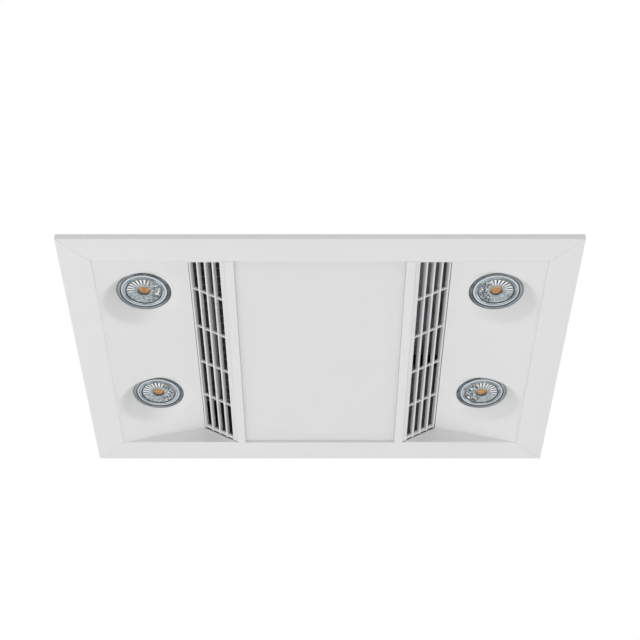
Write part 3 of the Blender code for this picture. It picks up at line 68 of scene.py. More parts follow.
class Field:
    """One value or colour that varies over a surface."""

    def __init__(self, nodes, socket):
        self.nodes, self.socket = nodes, socket

    def maths(self, operation, first, second=0.0):
        return self.nodes.add("ShaderNodeMath", {"operation": operation}, {0: first, 1: second})

    def __add__(self, other):
        return self.maths("ADD", self, other)

    def __sub__(self, other):
        return self.maths("SUBTRACT", self, other)

    def __rsub__(self, other):
        return self.maths("SUBTRACT", other, self)

    def __mul__(self, other):
        return self.maths("MULTIPLY", self, other)

    __radd__, __rmul__ = __add__, __mul__

    def highest(self, other):
        return self.maths("MAXIMUM", self, other)

    def fraction(self):
        return self.maths("FRACT", self)

    def wave(self):
        return self.maths("SINE", self)

    def distance(self, other):
        """Size of the difference, so a ridge or a ring round a chosen value."""
        return self.maths("ABSOLUTE", self - other)

    def between(self, start, end):
        """0 before start and 1 after end, with a smooth rise."""
        return self.nodes.add("ShaderNodeMapRange", {"interpolation_type": "SMOOTHSTEP"},
                              {"Value": self, "From Min": start, "From Max": end})


print("maths of a field:", [name for name in vars(Field) if not name.startswith("_")])

# %% [markdown]
# ## Node trees and finishes
# Materials and the world both hold a node tree, and one method adds any node to it: its type, its settings
# and the values or links of its sockets. A finish is a material with its Principled shader, and it knows the
# few patterns that come back all the time: clouds, cells, a blend, a tint and a relief.

# %% Node trees and finishes


class Nodes:
    """A node tree and one method that adds any node to it."""

    def __init__(self, owner):
        owner.use_nodes = True
        self.tree = owner.node_tree

    def add(self, kind, settings=None, inputs=None, output=0):
        """A node of a kind: its settings first, then its sockets' values or links; gives one output."""
        node = self.tree.nodes.new(kind)
        for setting, value in (settings or {}).items():
            setattr(node, setting, value)
        for socket, value in (inputs or {}).items():
            if isinstance(value, Field):
                self.tree.links.new(value.socket, node.inputs[socket])
            else:
                node.inputs[socket].default_value = value
        return Field(self, node.outputs[output])


class Finish(Nodes):
    """A material with its Principled shader, and the patterns that most finishes share."""

    def __init__(self, name, colour, roughness, metallic=0.0, **sockets):
        self.material = bpy.data.materials.new(name)
        super().__init__(self.material)
        self.shader = self.tree.nodes["Principled BSDF"]
        self.set("Base Color", (*colour, 1))
        self.set("Roughness", roughness)
        self.set("Metallic", metallic)
        for socket, value in sockets.items():
            self.set(socket.replace("_", " ").title(), value)
        self.material.diffuse_color = (*colour, 1)

    def set(self, socket, value):
        if isinstance(value, Field):
            self.tree.links.new(value.socket, self.shader.inputs[socket])
        else:
            self.shader.inputs[socket].default_value = value

    def place(self, scale):
        """Object coordinates, stretched."""
        spot = self.add("ShaderNodeTexCoord", output="Object")
        return self.add("ShaderNodeMapping", inputs={"Vector": spot, "Scale": scale})

    def noise(self, size, detail=2.0, stretch=(1, 1, 1), distortion=0.0):
        """Cloudy values round 0.5, whose clouds are about one size across."""
        scale = tuple(value / size for value in stretch)
        inputs = {"Vector": self.place(scale), "Scale": 1.0, "Detail": detail, "Distortion": distortion}
        return self.add("ShaderNodeTexNoise", inputs=inputs, output="Fac")

    def cells(self, size, output="Color", **settings):
        """Crystals or grains of one size, each with its own value."""
        inputs = {"Vector": self.place((1 / size,) * 3), "Scale": 1.0}
        return self.add("ShaderNodeTexVoronoi", settings, inputs, output)

    def axis(self, letter, source=None):
        """One coordinate of the place."""
        source = source or self.add("ShaderNodeTexCoord", output="Object")
        return self.add("ShaderNodeSeparateXYZ", inputs={0: source}, output=letter)

    def blend(self, mask, first, second):
        """A colour that goes from the first to the second as the mask goes from 0 to 1."""
        wide = [value if isinstance(value, Field) else (*value, 1) for value in (first, second)]
        return self.add("ShaderNodeMix", {"data_type": "RGBA"}, {0: mask, 6: wide[0], 7: wide[1]}, output=2)

    def tint(self, colour, mask, strength):
        """A colour made darker or lighter by a strength where the mask leaves 0.5."""
        shade = 1 + (mask - 0.5) * strength
        return self.add("ShaderNodeVectorMath", {"operation": "SCALE"}, {0: colour, "Scale": shade})

    def bump(self, height, distance):
        """Relief: the height, from 0 to 1, stands up by the distance."""
        inputs = {"Height": height, "Distance": distance, "Strength": 1.0}
        self.set("Normal", self.add("ShaderNodeBump", inputs=inputs))


print("patterns of a finish:", [name for name in vars(Finish) if not name.startswith("_")])

# %% [markdown]
# ## Finishes of the fascia
# The rails, bars and centre panel are aluminium with a satin white powder coat, which has a faint orange
# peel. The lamp panels and grilles are white moulded plastic with a finer grain. One plain white would look
# like paper, so a single function makes all three from the same patterns: clouds of tone, the peel and dust.
# The centre panel's white also gets painted shade along its edges, where its recess shades it.

# %% White enamel and white plastic
MM = 0.001
CENTRE_EDGE_X, CENTRE_EDGE_Y = 76.2 * MM, 137 * MM
DUST_GREY = (0.50, 0.48, 0.45)


def painted_edge_shade(finish):
    """Painted shade: a mask that rises over the last stretch before the centre panel's sides and its ends,
    where its recess shades it.
    """
    beside = finish.axis("X").distance(0).between(CENTRE_EDGE_X - 20 * MM, CENTRE_EDGE_X)
    ahead = finish.axis("Y").distance(0).between(CENTRE_EDGE_Y - 25 * MM, CENTRE_EDGE_Y)
    return beside * 0.03 + ahead * 0.045


def white(name, shade, roughness, peel, depth, edge_shaded=False):
    """Satin white: clouds of tone, a peel of one size, a few specks of dust and uneven gloss. If asked,
    painted shade darkens it along its edges."""
    finish = Finish(name, (shade,) * 3, roughness, coat_weight=0.12, coat_roughness=0.25)
    clouds = finish.noise(60 * MM, 3.0)
    ripple = finish.noise(peel, 2.0)
    dusty = finish.noise(11 * MM).between(0.58, 0.66)
    specks = finish.cells(3.1 * MM, "Distance").between(0.10, 0.05) * dusty
    toned = finish.tint((shade,) * 3, clouds, 0.035)
    # Painted shade: the white goes darker towards black along the centre panel's edges.
    if edge_shaded:
        toned = finish.blend(painted_edge_shade(finish), toned, (0, 0, 0))
    finish.set("Base Color", finish.blend(specks * 0.20, toned, DUST_GREY))
    finish.set("Roughness", roughness + (clouds - 0.5) * 0.12 + (ripple - 0.5) * 0.08)
    finish.bump(ripple + finish.noise(peel * 4) * 0.5, depth)
    return finish


enamel = white("satin_white_enamel", 0.80, 0.42, 1.3 * MM, 0.03 * MM)
plastic = white("white_moulded_plastic", 0.80, 0.48, 0.5 * MM, 0.02 * MM)
# The centre panel's white is a shade darker than the enamel, as painted shade for its recess.
recessed = white("satin_white_centre", 0.785, 0.42, 1.3 * MM, 0.03 * MM, edge_shaded=True)
print("white finishes:", enamel.material.name, plastic.material.name, recessed.material.name)

# %% [markdown]
# ## Metals of the inside
# Everything above the ceiling is plain engineering: zinc-coated sheet with its frost of crystals, mill
# aluminium, dark motor paint and a sintered bush. Zinc grows in flat crystals, and cells of random grey give
# just that. Rolled, drawn and turned metal has fine lines instead, so noise stretched one way draws it.

# %% Metals


def zinc(name, colour, crystal):
    """Zinc coat: each crystal has its own grey and gloss, with rolling streaks and dull clouds over them."""
    finish = Finish(name, colour, 0.42, 1.0)
    frost = finish.axis("X", finish.cells(crystal))
    small = finish.axis("Y", finish.cells(crystal / 3))
    streaks = finish.noise(2.5 * MM, 2.0, (0.04, 1, 1))
    dull = finish.noise(45 * MM, 4.0)
    grey = finish.tint(colour, frost * 0.6 + small * 0.4, 0.30)
    finish.set("Base Color", finish.tint(grey, dull * 0.6 + streaks * 0.4, 0.35))
    finish.set("Roughness", 0.34 + frost * 0.14 + (dull - 0.5) * 0.2)
    finish.bump(frost * 0.5 + streaks * 0.5, 0.04 * MM)
    return finish


def brushed(name, colour, roughness, stretch, line=0.35 * MM, metallic=1.0):
    """Metal with fine lines along one direction, duller in clouds."""
    finish = Finish(name, colour, roughness, metallic)
    lines = finish.noise(line, 3.0, stretch)
    clouds = finish.noise(18 * MM, 3.0)
    finish.set("Base Color", finish.tint(colour, lines * 0.5 + clouds * 0.5, 0.3))
    finish.set("Roughness", roughness + (lines - 0.5) * 0.22 + (clouds - 0.5) * 0.12)
    finish.bump(lines, 0.015 * MM)
    return finish


sheet = zinc("zinc_coated_sheet", (0.50, 0.515, 0.535), 9 * MM)
galvanised = zinc("zinc_coated_spigot", (0.54, 0.55, 0.565), 5 * MM)
fins = brushed("dark_oxidised_fins", (0.20, 0.20, 0.205), 0.55, (1, 1, 0.06), 0.4 * MM, 0.3)
mill = brushed("mill_aluminium", (0.62, 0.63, 0.64), 0.34, (1, 0.05, 1))
bright = brushed("bright_zinc_screw", (0.56, 0.55, 0.50), 0.30, (1, 1, 0.1), 0.2 * MM)
motor_paint = brushed("dark_motor_steel", (0.10, 0.105, 0.115), 0.42, (0.04, 0.04, 1), 0.9 * MM, 0.6)
bronze = brushed("sintered_bush", (0.55, 0.38, 0.16), 0.46, (1, 1, 1), 0.3 * MM)
metals = (sheet, galvanised, fins, mill, bright, motor_paint, bronze)
print("metals:", [finish.material.name for finish in metals])

# %% [markdown]
# ## Mouldings and ceramic
# The dogs, the gland and the impeller are moulded in black, the lamp holders and terminals are unglazed
# ceramic, and the element's frame is a heat-proof moulding. All of them are matt with a fine grain, so one
# function serves, with a second shade for the grains that show in the surface.

# %% Mouldings and ceramic


def moulded(name, colour, roughness, grain, speck):
    """A moulding or ceramic: fine grain in the relief, and grains of a second shade."""
    finish = Finish(name, colour, roughness)
    texture = finish.noise(grain, 3.0)
    clouds = finish.noise(20 * MM, 2.0)
    dots = finish.cells(grain * 3, "Distance").between(0.32, 0.20)
    toned = finish.tint(colour, clouds, 0.25)
    finish.set("Base Color", finish.blend(dots * 0.35, toned, speck))
    finish.set("Roughness", roughness + (texture - 0.5) * 0.2 + (clouds - 0.5) * 0.1)
    finish.bump(texture, 0.05 * MM)
    return finish


black = moulded("black_moulded_plastic", (0.028, 0.028, 0.031), 0.46, 0.45 * MM, (0.06, 0.06, 0.065))
steatite = moulded("unglazed_ceramic", (0.74, 0.71, 0.64), 0.62, 0.6 * MM, (0.52, 0.47, 0.40))
frame_grey = moulded("heat_proof_frame", (0.10, 0.10, 0.105), 0.55, 0.5 * MM, (0.16, 0.16, 0.165))
print("mouldings:", black.material.name, steatite.material.name, frame_grey.material.name)

# %% [markdown]
# ## Finishes of the lamps
# Each lamp has a turned metal ring, a facetted clear lens and an amber chip behind it. Their patterns run
# round the lamp's own axis, which Object coordinates don't know. So the lamp meshes carry an attribute, the
# dial: their place measured from that axis, with X outwards, so that the left and right lamps mirror.

# %% Lamp ring
LAMP_RADIUS = 25 * MM
FACETS = 24
RIM_GROOVE_SHARE, RING_GROOVE_SHARE, LENS_GROOVE_SHARE, LENS_EDGE_SHARE = 0.87, 0.765, 0.675, 0.645


def dial(finish):
    """(share of the lamp's radius, share of a turn) from the attribute that the lamp meshes carry."""
    spot = finish.add("ShaderNodeAttribute", {"attribute_name": "dial"}, output="Vector")
    flat = finish.add("ShaderNodeVectorMath", {"operation": "MULTIPLY"}, {0: spot, 1: (1, 1, 0)})
    radius = finish.add("ShaderNodeVectorMath", {"operation": "LENGTH"}, {0: flat}, output="Value")
    turn = spot.maths("ARCTAN2", finish.axis("Y", spot), finish.axis("X", spot))
    return radius * (1 / LAMP_RADIUS), turn * (1 / math.tau) + 0.5


def ring(value, middle, half):
    """1 on a chosen value and 0 a half width away from it."""
    return value.distance(middle).between(half, half * 0.35)


def lamp_ring():
    """Blue-grey anodised metal, finely turned, with a painted sheen round the turn, a painted highlight
    where the retaining ring stands, and painted shade in the grooves and at the outer edge.
    """
    finish = Finish("anodised_lamp_ring", (0.23, 0.27, 0.29), 0.30, 0.85)
    radius, turn = dial(finish)
    turning = (radius * 900).wave()
    uneven = finish.noise(9 * MM, 2.0).between(0.38, 0.62)
    # Painted sheen: lighter over one part of the turn, mixed with uneven tone.
    painted_sheen_and_tone = turn.distance(0.60).between(0.36, 0.14) * 0.65 + uneven * 0.35
    body = finish.blend(painted_sheen_and_tone, (0.085, 0.11, 0.125), (0.34, 0.39, 0.41))
    # Painted highlight where the retaining ring stands.
    lit = finish.blend(radius.between(RIM_GROOVE_SHARE, 0.85), body, (0.62, 0.68, 0.70))
    shelf = finish.blend(uneven, (0.24, 0.28, 0.30), (0.52, 0.58, 0.60))
    lit = finish.blend(radius.between(0.77, 0.755), lit, shelf)
    # Painted shade in the grooves and along the outer edge.
    painted_groove_and_edge_shade = ring(radius, RIM_GROOVE_SHARE, 0.024).highest(ring(radius, RING_GROOVE_SHARE, 0.016) * 0.8)
    painted_groove_and_edge_shade = painted_groove_and_edge_shade.highest(ring(radius, LENS_GROOVE_SHARE, 0.018)).highest(radius.between(0.965, 1.0))
    finish.set("Base Color", finish.blend(painted_groove_and_edge_shade, lit, (0.035, 0.042, 0.048)))
    finish.set("Roughness", 0.26 + painted_sheen_and_tone * 0.12)
    finish.bump(turning, 0.01 * MM)
    return finish


ring_metal = lamp_ring()
print("lamp ring:", ring_metal.material.name, "with", len(ring_metal.tree.nodes), "nodes")

# %% [markdown]
# ## Lens and chip
# The lens is a clear moulding with a facetted reflector behind it. Real glass would need many bounces to
# show that, so its glints are painted reflections in its colour: bright facets with dark lines between them
# towards the outside, broken dark and white glints towards the inside. The middle is left open, and the
# amber chip shows through it.

# %% Lens and chip


def lamp_lens():
    """Clear optic with painted reflections: bright facets on its outer side, dark and white glints on its
    inner side, and a clear middle through which the chip shows."""
    finish = Finish("facetted_clear_lens", (0.62, 0.70, 0.72), 0.10, 0.15, coat_weight=0.4,
                    coat_roughness=0.04)
    radius, turn = dial(finish)
    flutes = (turn * FACETS).fraction().distance(0.5) * 2
    swirl = finish.noise(2.4 * MM, 2.0, distortion=1.5)
    band = radius.between(0.30, 0.40) * radius.between(0.64, 0.58)
    outer_side = turn.between(0.14, 0.22) * turn.between(0.58, 0.48) * band
    inner_side = turn.distance(0.50).between(0.26, 0.33) * band
    # Painted reflections: dark lines between the outer facets and dark glints inside, then white facets and
    # glints.
    dark = (flutes.between(0.45, 0.90) * outer_side).highest(swirl.between(0.56, 0.49) * inner_side)
    light = (flutes.between(0.65, 0.20) * outer_side).highest(swirl.between(0.58, 0.62) * inner_side)
    tone = finish.blend(swirl.between(0.35, 0.65), (0.19, 0.24, 0.26), (0.50, 0.58, 0.60))
    tone = finish.blend(dark * 0.95, tone, (0.02, 0.026, 0.03))
    tone = finish.blend(light, tone, (1.0, 1.0, 1.0))
    finish.set("Base Color", finish.blend(ring(radius, LENS_EDGE_SHARE, 0.016), tone, (0.05, 0.06, 0.065)))
    finish.set("Roughness", 0.08 + swirl * 0.12)
    finish.set("Alpha", 0.04 + radius.between(0.215, 0.26) * 0.94)
    finish.bump(flutes * outer_side + swirl * 0.5, 0.25 * MM)
    return finish


def lamp_chip():
    """Amber phosphor over a grid of dies, with a darker rim."""
    finish = Finish("amber_led_chip", (0.80, 0.32, 0.04), 0.42, coat_weight=0.5, coat_roughness=0.1)
    radius = dial(finish)[0]
    dies = finish.cells(1.5 * MM, "Distance", distance="CHEBYCHEV").between(0.30, 0.42)
    clouds = finish.noise(2.2 * MM, 2.0)
    amber = finish.blend(clouds.between(0.35, 0.65), (0.48, 0.19, 0.035), (0.86, 0.39, 0.06))
    amber = finish.blend(dies * 0.35, amber, (0.26, 0.11, 0.02))
    finish.set("Base Color", finish.blend(radius.between(0.205, 0.22), amber, (0.50, 0.44, 0.36)))
    finish.set("Roughness", 0.35 + clouds * 0.15)
    finish.bump(dies, 0.06 * MM)
    return finish


lens_clear, chip_amber = lamp_lens(), lamp_chip()
print("lens and chip:", lens_clear.material.name, chip_amber.material.name)

# %% [markdown]
# ## Surfaces from arrays
# A shape is a table of points, rows by columns, worked out as whole arrays. Neighbouring points make the
# quads, and the last column may join on to the first one again. An outline carried along a line, a box and a
# turned profile are all such tables, so the three of them make nearly every part of the fascia.

# %% Grids, prisms and turned shapes


def grid_faces(rows, columns, ring_columns):
    """Corners of the quads of a table of points: (row, column), its right, its upper right and its upper."""
    steps = columns if ring_columns else columns - 1
    row, column = np.meshgrid(np.arange(rows - 1), np.arange(steps), indexing="ij")
    right = (column + 1) % columns
    low, high = row * columns, (row + 1) * columns
    return np.stack([low + column, low + right, high + right, high + column], axis=-1).reshape(-1, 4)


def grid_shape(points, ring_columns=False, caps=False):
    """(points, faces) of a table of points, with its first and last row closed by one face each if asked."""
    rows, columns = points.shape[:2]
    faces = grid_faces(rows, columns, ring_columns).tolist()
    if caps:
        faces.append(list(range(columns))[::-1])
        faces.append(list(range((rows - 1) * columns, rows * columns)))
    return points.reshape(-1, 3), faces


def prism(outline, starts, ends, axis):
    """An outline carried along an axis: each point starts and ends at its own or one common distance."""
    outline = np.asarray(outline, float)
    points = np.zeros((2, len(outline), 3))
    others = [index for index in range(3) if index != axis]
    points[:, :, others] = outline
    points[0, :, axis] = starts
    points[1, :, axis] = ends
    return grid_shape(points, ring_columns=True, caps=True)


def block(low, high):
    """A box between two corners."""
    low, high = np.asarray(low, float), np.asarray(high, float)
    outline = [(low[0], low[1]), (high[0], low[1]), (high[0], high[1]), (low[0], high[1])]
    return prism(outline, low[2], high[2], 2)


def turned(profile, sides, centre, axis=2, closed=False):
    """A profile of (radius, height) carried round an axis: x = radius cos(turn), y = radius sin(turn)."""
    profile = np.asarray(profile, float)
    turn = np.linspace(0, math.tau, sides, endpoint=False)
    points = np.empty((len(profile), sides, 3))
    across = [index for index in range(3) if index != axis]
    points[..., across[0]] = centre[across[0]] + profile[:, :1] * np.cos(turn)
    points[..., across[1]] = centre[across[1]] + profile[:, :1] * np.sin(turn)
    points[..., axis] = centre[axis] + profile[:, 1:]
    if closed:
        points = np.concatenate([points, points[:1]])
    return grid_shape(points, ring_columns=True)


def rounded(corners, radii, steps=4):
    """An outline whose corners are arcs that touch both sides, each of its own radius."""
    corners = np.asarray(corners, float)
    before, after = np.roll(corners, 1, 0) - corners, np.roll(corners, -1, 0) - corners
    before /= np.linalg.norm(before, axis=1)[:, None]
    after /= np.linalg.norm(after, axis=1)[:, None]
    half = np.arccos(np.clip((before * after).sum(1), -1, 1)) / 2
    reach = (np.asarray(radii, float) / np.tan(half))[:, None]
    share = np.linspace(0, 1, steps + 1)[None, :, None]
    start, end = (corners + before * reach)[:, None], (corners + after * reach)[:, None]
    middle = corners[:, None]
    weight = (1 - np.sin(half))[:, None, None]
    pull = middle + (start + end - 2 * middle) * weight * 0.2
    return ((1 - share) ** 2 * start + 2 * (1 - share) * share * pull + share ** 2 * end).reshape(-1, 2)


print("faces of a unit box:", len(block((0, 0, 0), (1, 1, 1))[1]))

# %% [markdown]
# ## From shapes to pieces
# Several shapes may share one mesh, and that mesh becomes a piece. Each shape has its doubles merged and its
# faces turned outwards by itself, because shapes that touch would confuse each other. A piece stands for a
# part of the frame and rides with that part's body. Where a part's own solid
# is good enough, a copy with its triangles joined and its edges rounded does the same job.

# %% From shapes to pieces
SHARP = math.radians(38)


def merged(shapes):
    """One mesh from several shapes, each with its own doubles merged and its faces outwards."""
    whole = bmesh.new()
    for points, faces in shapes:
        mesh = bpy.data.meshes.new("shape")
        mesh.from_pydata(points.tolist(), [], faces)
        shape = bmesh.new()
        shape.from_mesh(mesh)
        bmesh.ops.remove_doubles(shape, verts=shape.verts, dist=0.002 * MM)
        bmesh.ops.dissolve_degenerate(shape, edges=shape.edges, dist=0.001 * MM)
        bmesh.ops.recalc_face_normals(shape, faces=shape.faces)
        shape.to_mesh(mesh)
        shape.free()
        whole.from_mesh(mesh)
        bpy.data.meshes.remove(mesh)
    mesh = bpy.data.meshes.new("piece")
    whole.to_mesh(mesh)
    whole.free()
    return mesh


def bevelled(piece, width):
    """Rounds the sharp edges in two steps."""
    bevel = piece.modifiers.new("soft edges", "BEVEL")
    bevel.width, bevel.segments = width, 2
    bevel.limit_method, bevel.angle_limit = "ANGLE", SHARP
    bevel.harden_normals = True


def new_piece(node, mesh, finish, bevel=0.0):
    """A piece that stands for a node of the frame and rides with its body."""
    mesh.name = f"{node}_finished"
    mesh.shade_smooth()
    mesh.set_sharp_from_angle(angle=SHARP)
    mesh.materials.clear()
    mesh.materials.append(finish.material)
    piece = bpy.data.objects.new(mesh.name, mesh)
    bpy.context.scene.collection.objects.link(piece)
    if bevel:
        bevelled(piece, bevel)
    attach(piece, home[node])
    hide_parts(node)


def softened(node, finish, bevel):
    """A node's own solid with its triangles joined up and its edges rounded."""
    shape = bmesh.new()
    shape.from_mesh(frame["nodes"][node].data)
    bmesh.ops.remove_doubles(shape, verts=shape.verts, dist=0.005 * MM)
    bmesh.ops.dissolve_limit(shape, angle_limit=math.radians(1), verts=shape.verts, edges=shape.edges)
    mesh = bpy.data.meshes.new(node)
    shape.to_mesh(mesh)
    shape.free()
    new_piece(node, mesh, finish, bevel)


print("rounding for softened parts starts at", round(math.degrees(SHARP)), "degrees")

# %% [markdown]
# ## Frame rails
# The real rails are extrusions cut at 45 degrees: a flat face with rounded edges, a ledge and a skirt behind
# it. A box with cuts could do, but its edges would be sharp. So the section is an outline with round corners,
# and each of its points ends where the mitre line crosses it.

# %% Four mitred rails
RAIL_WIDTH, RAIL_HEIGHT, RAIL_WEB, RAIL_SKIRT = 28.5 * MM, 6 * MM, 1.8 * MM, 2 * MM
face_low, face_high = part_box("frame_rail_near")[0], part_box("frame_rail_far")[1]
HALF_X, HALF_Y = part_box("frame_rail_right")[1][0], face_high[1]
FACE = face_low[2]
LEDGE_TOP, LEDGE_INNER = 4.7 * MM, 17.5 * MM
MITRE = 0.20 * MM
corners = [(0, 0), (RAIL_WIDTH, 0), (RAIL_WIDTH, LEDGE_TOP), (LEDGE_INNER, LEDGE_TOP),
           (LEDGE_INNER, RAIL_WEB), (RAIL_SKIRT, RAIL_WEB), (RAIL_SKIRT, RAIL_HEIGHT), (0, RAIL_HEIGHT)]
radii = np.array([0.8, 0.6, 0.2, 0.2, 0.2, 0.2, 0.2, 0.2]) * MM
rail_outline = rounded(corners, radii, 5)


def rail(name, half_length, half_depth, turn):
    """The near rail's section carried along X, then turned about the middle by whole quarters."""
    end = half_length - rail_outline[:, 0] - MITRE / 2
    section = rail_outline - (half_depth, 0)
    points, faces = prism(section + (0, FACE), -end, end, 0)
    cos, sin = round(math.cos(turn)), round(math.sin(turn))
    x, y = points[:, 0] * cos - points[:, 1] * sin, points[:, 0] * sin + points[:, 1] * cos
    points = np.stack([x, y, points[:, 2]], axis=1)
    new_piece(name, merged([(points, faces)]), enamel, 0.12 * MM)


for quarters, name in enumerate(("near", "right", "far", "left")):
    sizes = (HALF_Y, HALF_X) if quarters % 2 else (HALF_X, HALF_Y)
    rail(f"frame_rail_{name}", *sizes, quarters * math.pi / 2)
print("fascia in mm:", round(HALF_X * 2000, 1), "x", round(HALF_Y * 2000, 1))

# %% [markdown]
# ## Bars and centre panel
# The bars are folded strips that lie on the rails' ledges with their ends. One side view, carried across the
# bar's width, gives the strip and both tabs at once. The centre panel is flat, so its own solid is enough.

# %% Trim bars and centre panel
OPEN_X, OPEN_Y = HALF_X - RAIL_WIDTH, HALF_Y - RAIL_WIDTH
GAP = 0.12 * MM
TAB_LOW, TAB_HIGH, TAB_REACH = FACE + 5 * MM, FACE + 6.5 * MM, 6.5 * MM


def strip_outline():
    """Side view of a strip whose ends step out over the ledges."""
    inner, outer = OPEN_Y - GAP, OPEN_Y + TAB_REACH
    half = [(inner, FACE), (inner, TAB_LOW), (outer, TAB_LOW), (outer, TAB_HIGH)]
    return half + [(-y, z) for y, z in reversed(half)]


SIDES = (("left", -1), ("right", 1))
ENDS = (("near", -1), ("far", 1))
BAR_INNER, BAR_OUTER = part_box("centre_panel")[1][0] + 0.06 * MM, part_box("trim_bar_right")[1][0]
for side_name, side in SIDES:
    strip = prism(strip_outline(), *sorted((side * BAR_INNER, side * BAR_OUTER)), 0)
    new_piece(f"trim_bar_{side_name}", merged([strip]), enamel, 0.35 * MM)
softened("centre_panel", recessed, 0.2 * MM)
print("bar width in mm:", round((BAR_OUTER - BAR_INNER) / MM, 1))

# %% [markdown]
# ## Lamp panels
# Each panel is one moulding: it slopes up from the rail to the grille, and round each lamp it falls away from
# a circle on the slope to the lamp's rim. A grid along X and Y would leave a ragged crease there. So rays run
# from each lamp's hole to the panel's edge, closely spaced where the two slopes meet.

# %% Height of a lamp panel
lamp_low, lamp_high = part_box("lamp_body_far_right")
LAMP_X, LAMP_Y = (lamp_low[0] + lamp_high[0]) / 2, (lamp_low[1] + lamp_high[1]) / 2
LAMP_FACE = lamp_low[2] - FACE
APEX_X, APEX_RISE = 119 * MM, 18.3 * MM
SLOPE = APEX_RISE / (OPEN_X - APEX_X)
LAMP_CLEARANCE, RECESS, SOFT = 0.25 * MM, 35.4 * MM, 2.5 * MM
HOLE = LAMP_RADIUS + LAMP_CLEARANCE
PANEL_END, PANEL_OUTER = OPEN_Y - GAP - 0.9 * MM, OPEN_X - GAP
print("lamp axis in mm:", round(LAMP_X / MM, 1), round(LAMP_Y / MM, 1), "face", round(LAMP_FACE / MM, 1))


def panel_height(radius, cos):
    """Two straight slopes along a ray that meet on the circle, with their joint rounded: the mean slope times
    the distance from the circle, plus half the change of slope times the root of that distance squared."""
    circle = (OPEN_X - LAMP_X - RECESS * cos) * SLOPE
    inner, outer = (circle - LAMP_FACE) / (RECESS - HOLE), -SLOPE * cos
    beyond = radius - RECESS
    bend = np.sqrt(beyond ** 2 + SOFT ** 2)
    return circle + (inner + outer) / 2 * beyond + (outer - inner) / 2 * bend


# %% [markdown]
# ## The panel's surface
# Half of a panel holds one lamp, and its rays are turned so that four of them meet the half's corners. The
# two halves are joined along the middle. Only then does the surface get its wall, on the side away from the
# room, because a wall made for each half would leave a seam.

# %% Rays from the lamp to the panel's edge
WALL, RAY_STEP = 1.6 * MM, math.radians(2.5)


def ray_angles():
    """Turns of the rays: even steps between the directions of the panel's four corners."""
    edges = [PANEL_OUTER - LAMP_X, PANEL_END - LAMP_Y, APEX_X - LAMP_X, -LAMP_Y]
    marks = [math.atan2(edges[1], edges[0]), math.atan2(edges[1], edges[2]),
             math.atan2(edges[3], edges[2]) + math.tau, math.atan2(edges[3], edges[0]) + math.tau]
    marks.append(marks[0] + math.tau)
    spans = [np.linspace(start, end, int((end - start) / RAY_STEP), endpoint=False)
             for start, end in zip(marks[:-1], marks[1:])]
    return np.concatenate(spans)


def panel_half(side, end):
    """Rays from a lamp's hole to the edge of its half of the panel, closely spaced round the crease."""
    turn = ray_angles()
    cos, sin = np.cos(turn), np.sin(turn)
    with np.errstate(divide="ignore"):
        reach_x = np.where(cos > 0, PANEL_OUTER - LAMP_X, APEX_X - LAMP_X) / cos
        reach_y = np.where(sin > 0, PANEL_END - LAMP_Y, -LAMP_Y) / sin
    reach = np.minimum(reach_x, reach_y)
    inner = 1 - np.linspace(1, 0, 14)[:, None] ** 1.6
    outer = np.linspace(0, 1, 24)[1:, None] ** 2.0
    radius = np.concatenate([HOLE + (RECESS - HOLE) * inner + 0 * turn, RECESS + (reach - RECESS) * outer])
    x = LAMP_X + radius * cos
    y = LAMP_Y + radius * sin
    z = FACE + panel_height(radius, cos)
    points = np.stack([side * x, end * y, z], axis=-1)
    return grid_shape(points, ring_columns=True)


def panel_face(side):
    """Both halves joined along the middle and given a wall's thickness, away from the room."""
    halves = [panel_half(side, end) for end in (-1, 1)]
    points = np.concatenate([halves[0][0], halves[1][0]])
    faces = halves[0][1] + [[index + len(halves[0][0]) for index in face] for face in halves[1][1]]
    mesh = merged([(points, faces)])
    shape = bmesh.new()
    shape.from_mesh(mesh)
    if sum(face.normal.z * face.calc_area() for face in shape.faces) > 0:
        bmesh.ops.reverse_faces(shape, faces=shape.faces)
    bmesh.ops.solidify(shape, geom=shape.faces, thickness=WALL)
    shape.to_mesh(mesh)
    shape.free()
    return mesh


print("rays round a lamp:", len(ray_angles()))

# %% [markdown]
# ## Walls, lips, tabs and collars of the panels
# A moulding also has what holds it: a triangular wall at each end, tabs and a foot that lie on the ledges, a
# lip along its apex and a collar round each lamp. They are plain boxes, prisms and tubes that overlap the
# surface a little, as the moulding's walls do.

# %% Lamp panels
TAB_MIDDLES, TAB_HALF = (136 * MM, 178 * MM), 7 * MM
LIP, LIP_TALL, LIP_OVERLAP, COLLAR_TALL = 1.5 * MM, 8.4 * MM, 0.1 * MM, 6 * MM
WALL_FOOT, WALL_REACH, END_WALL = 0.3 * MM, 85.1 * MM, 1.0 * MM


def crossing(side, inner, outer, low, high):
    """A box from end to end of a panel, between two distances from the middle of the unit."""
    across = sorted((side * inner, side * outer))
    return block((across[0], -PANEL_END, low), (across[1], PANEL_END, high))


def panel_end(side, end):
    """A triangular wall, two tabs over the ledge and the collar of the lamp at this end."""
    wall = OPEN_Y - GAP
    triangle = [(side * (PANEL_OUTER - 0.4 * MM), FACE + WALL_FOOT),
                (side * (APEX_X - GAP), FACE + APEX_RISE), (side * WALL_REACH, FACE + WALL_FOOT)]
    shapes = [prism(triangle, end * (wall - END_WALL), end * wall, 1)]
    start, stop = sorted((end * PANEL_END, end * (OPEN_Y + TAB_REACH)))
    for middle in TAB_MIDDLES:
        left, right = side * middle - TAB_HALF, side * middle + TAB_HALF
        shapes.append(block((left, start, TAB_LOW), (right, stop, TAB_HIGH)))
    low, high = LAMP_FACE + LIP_OVERLAP, LAMP_FACE + COLLAR_TALL
    collar = [(HOLE, low), (HOLE + WALL, low), (HOLE + WALL, high), (HOLE, high)]
    return shapes + [turned(collar, 72, (side * LAMP_X, end * LAMP_Y, FACE), closed=True)]


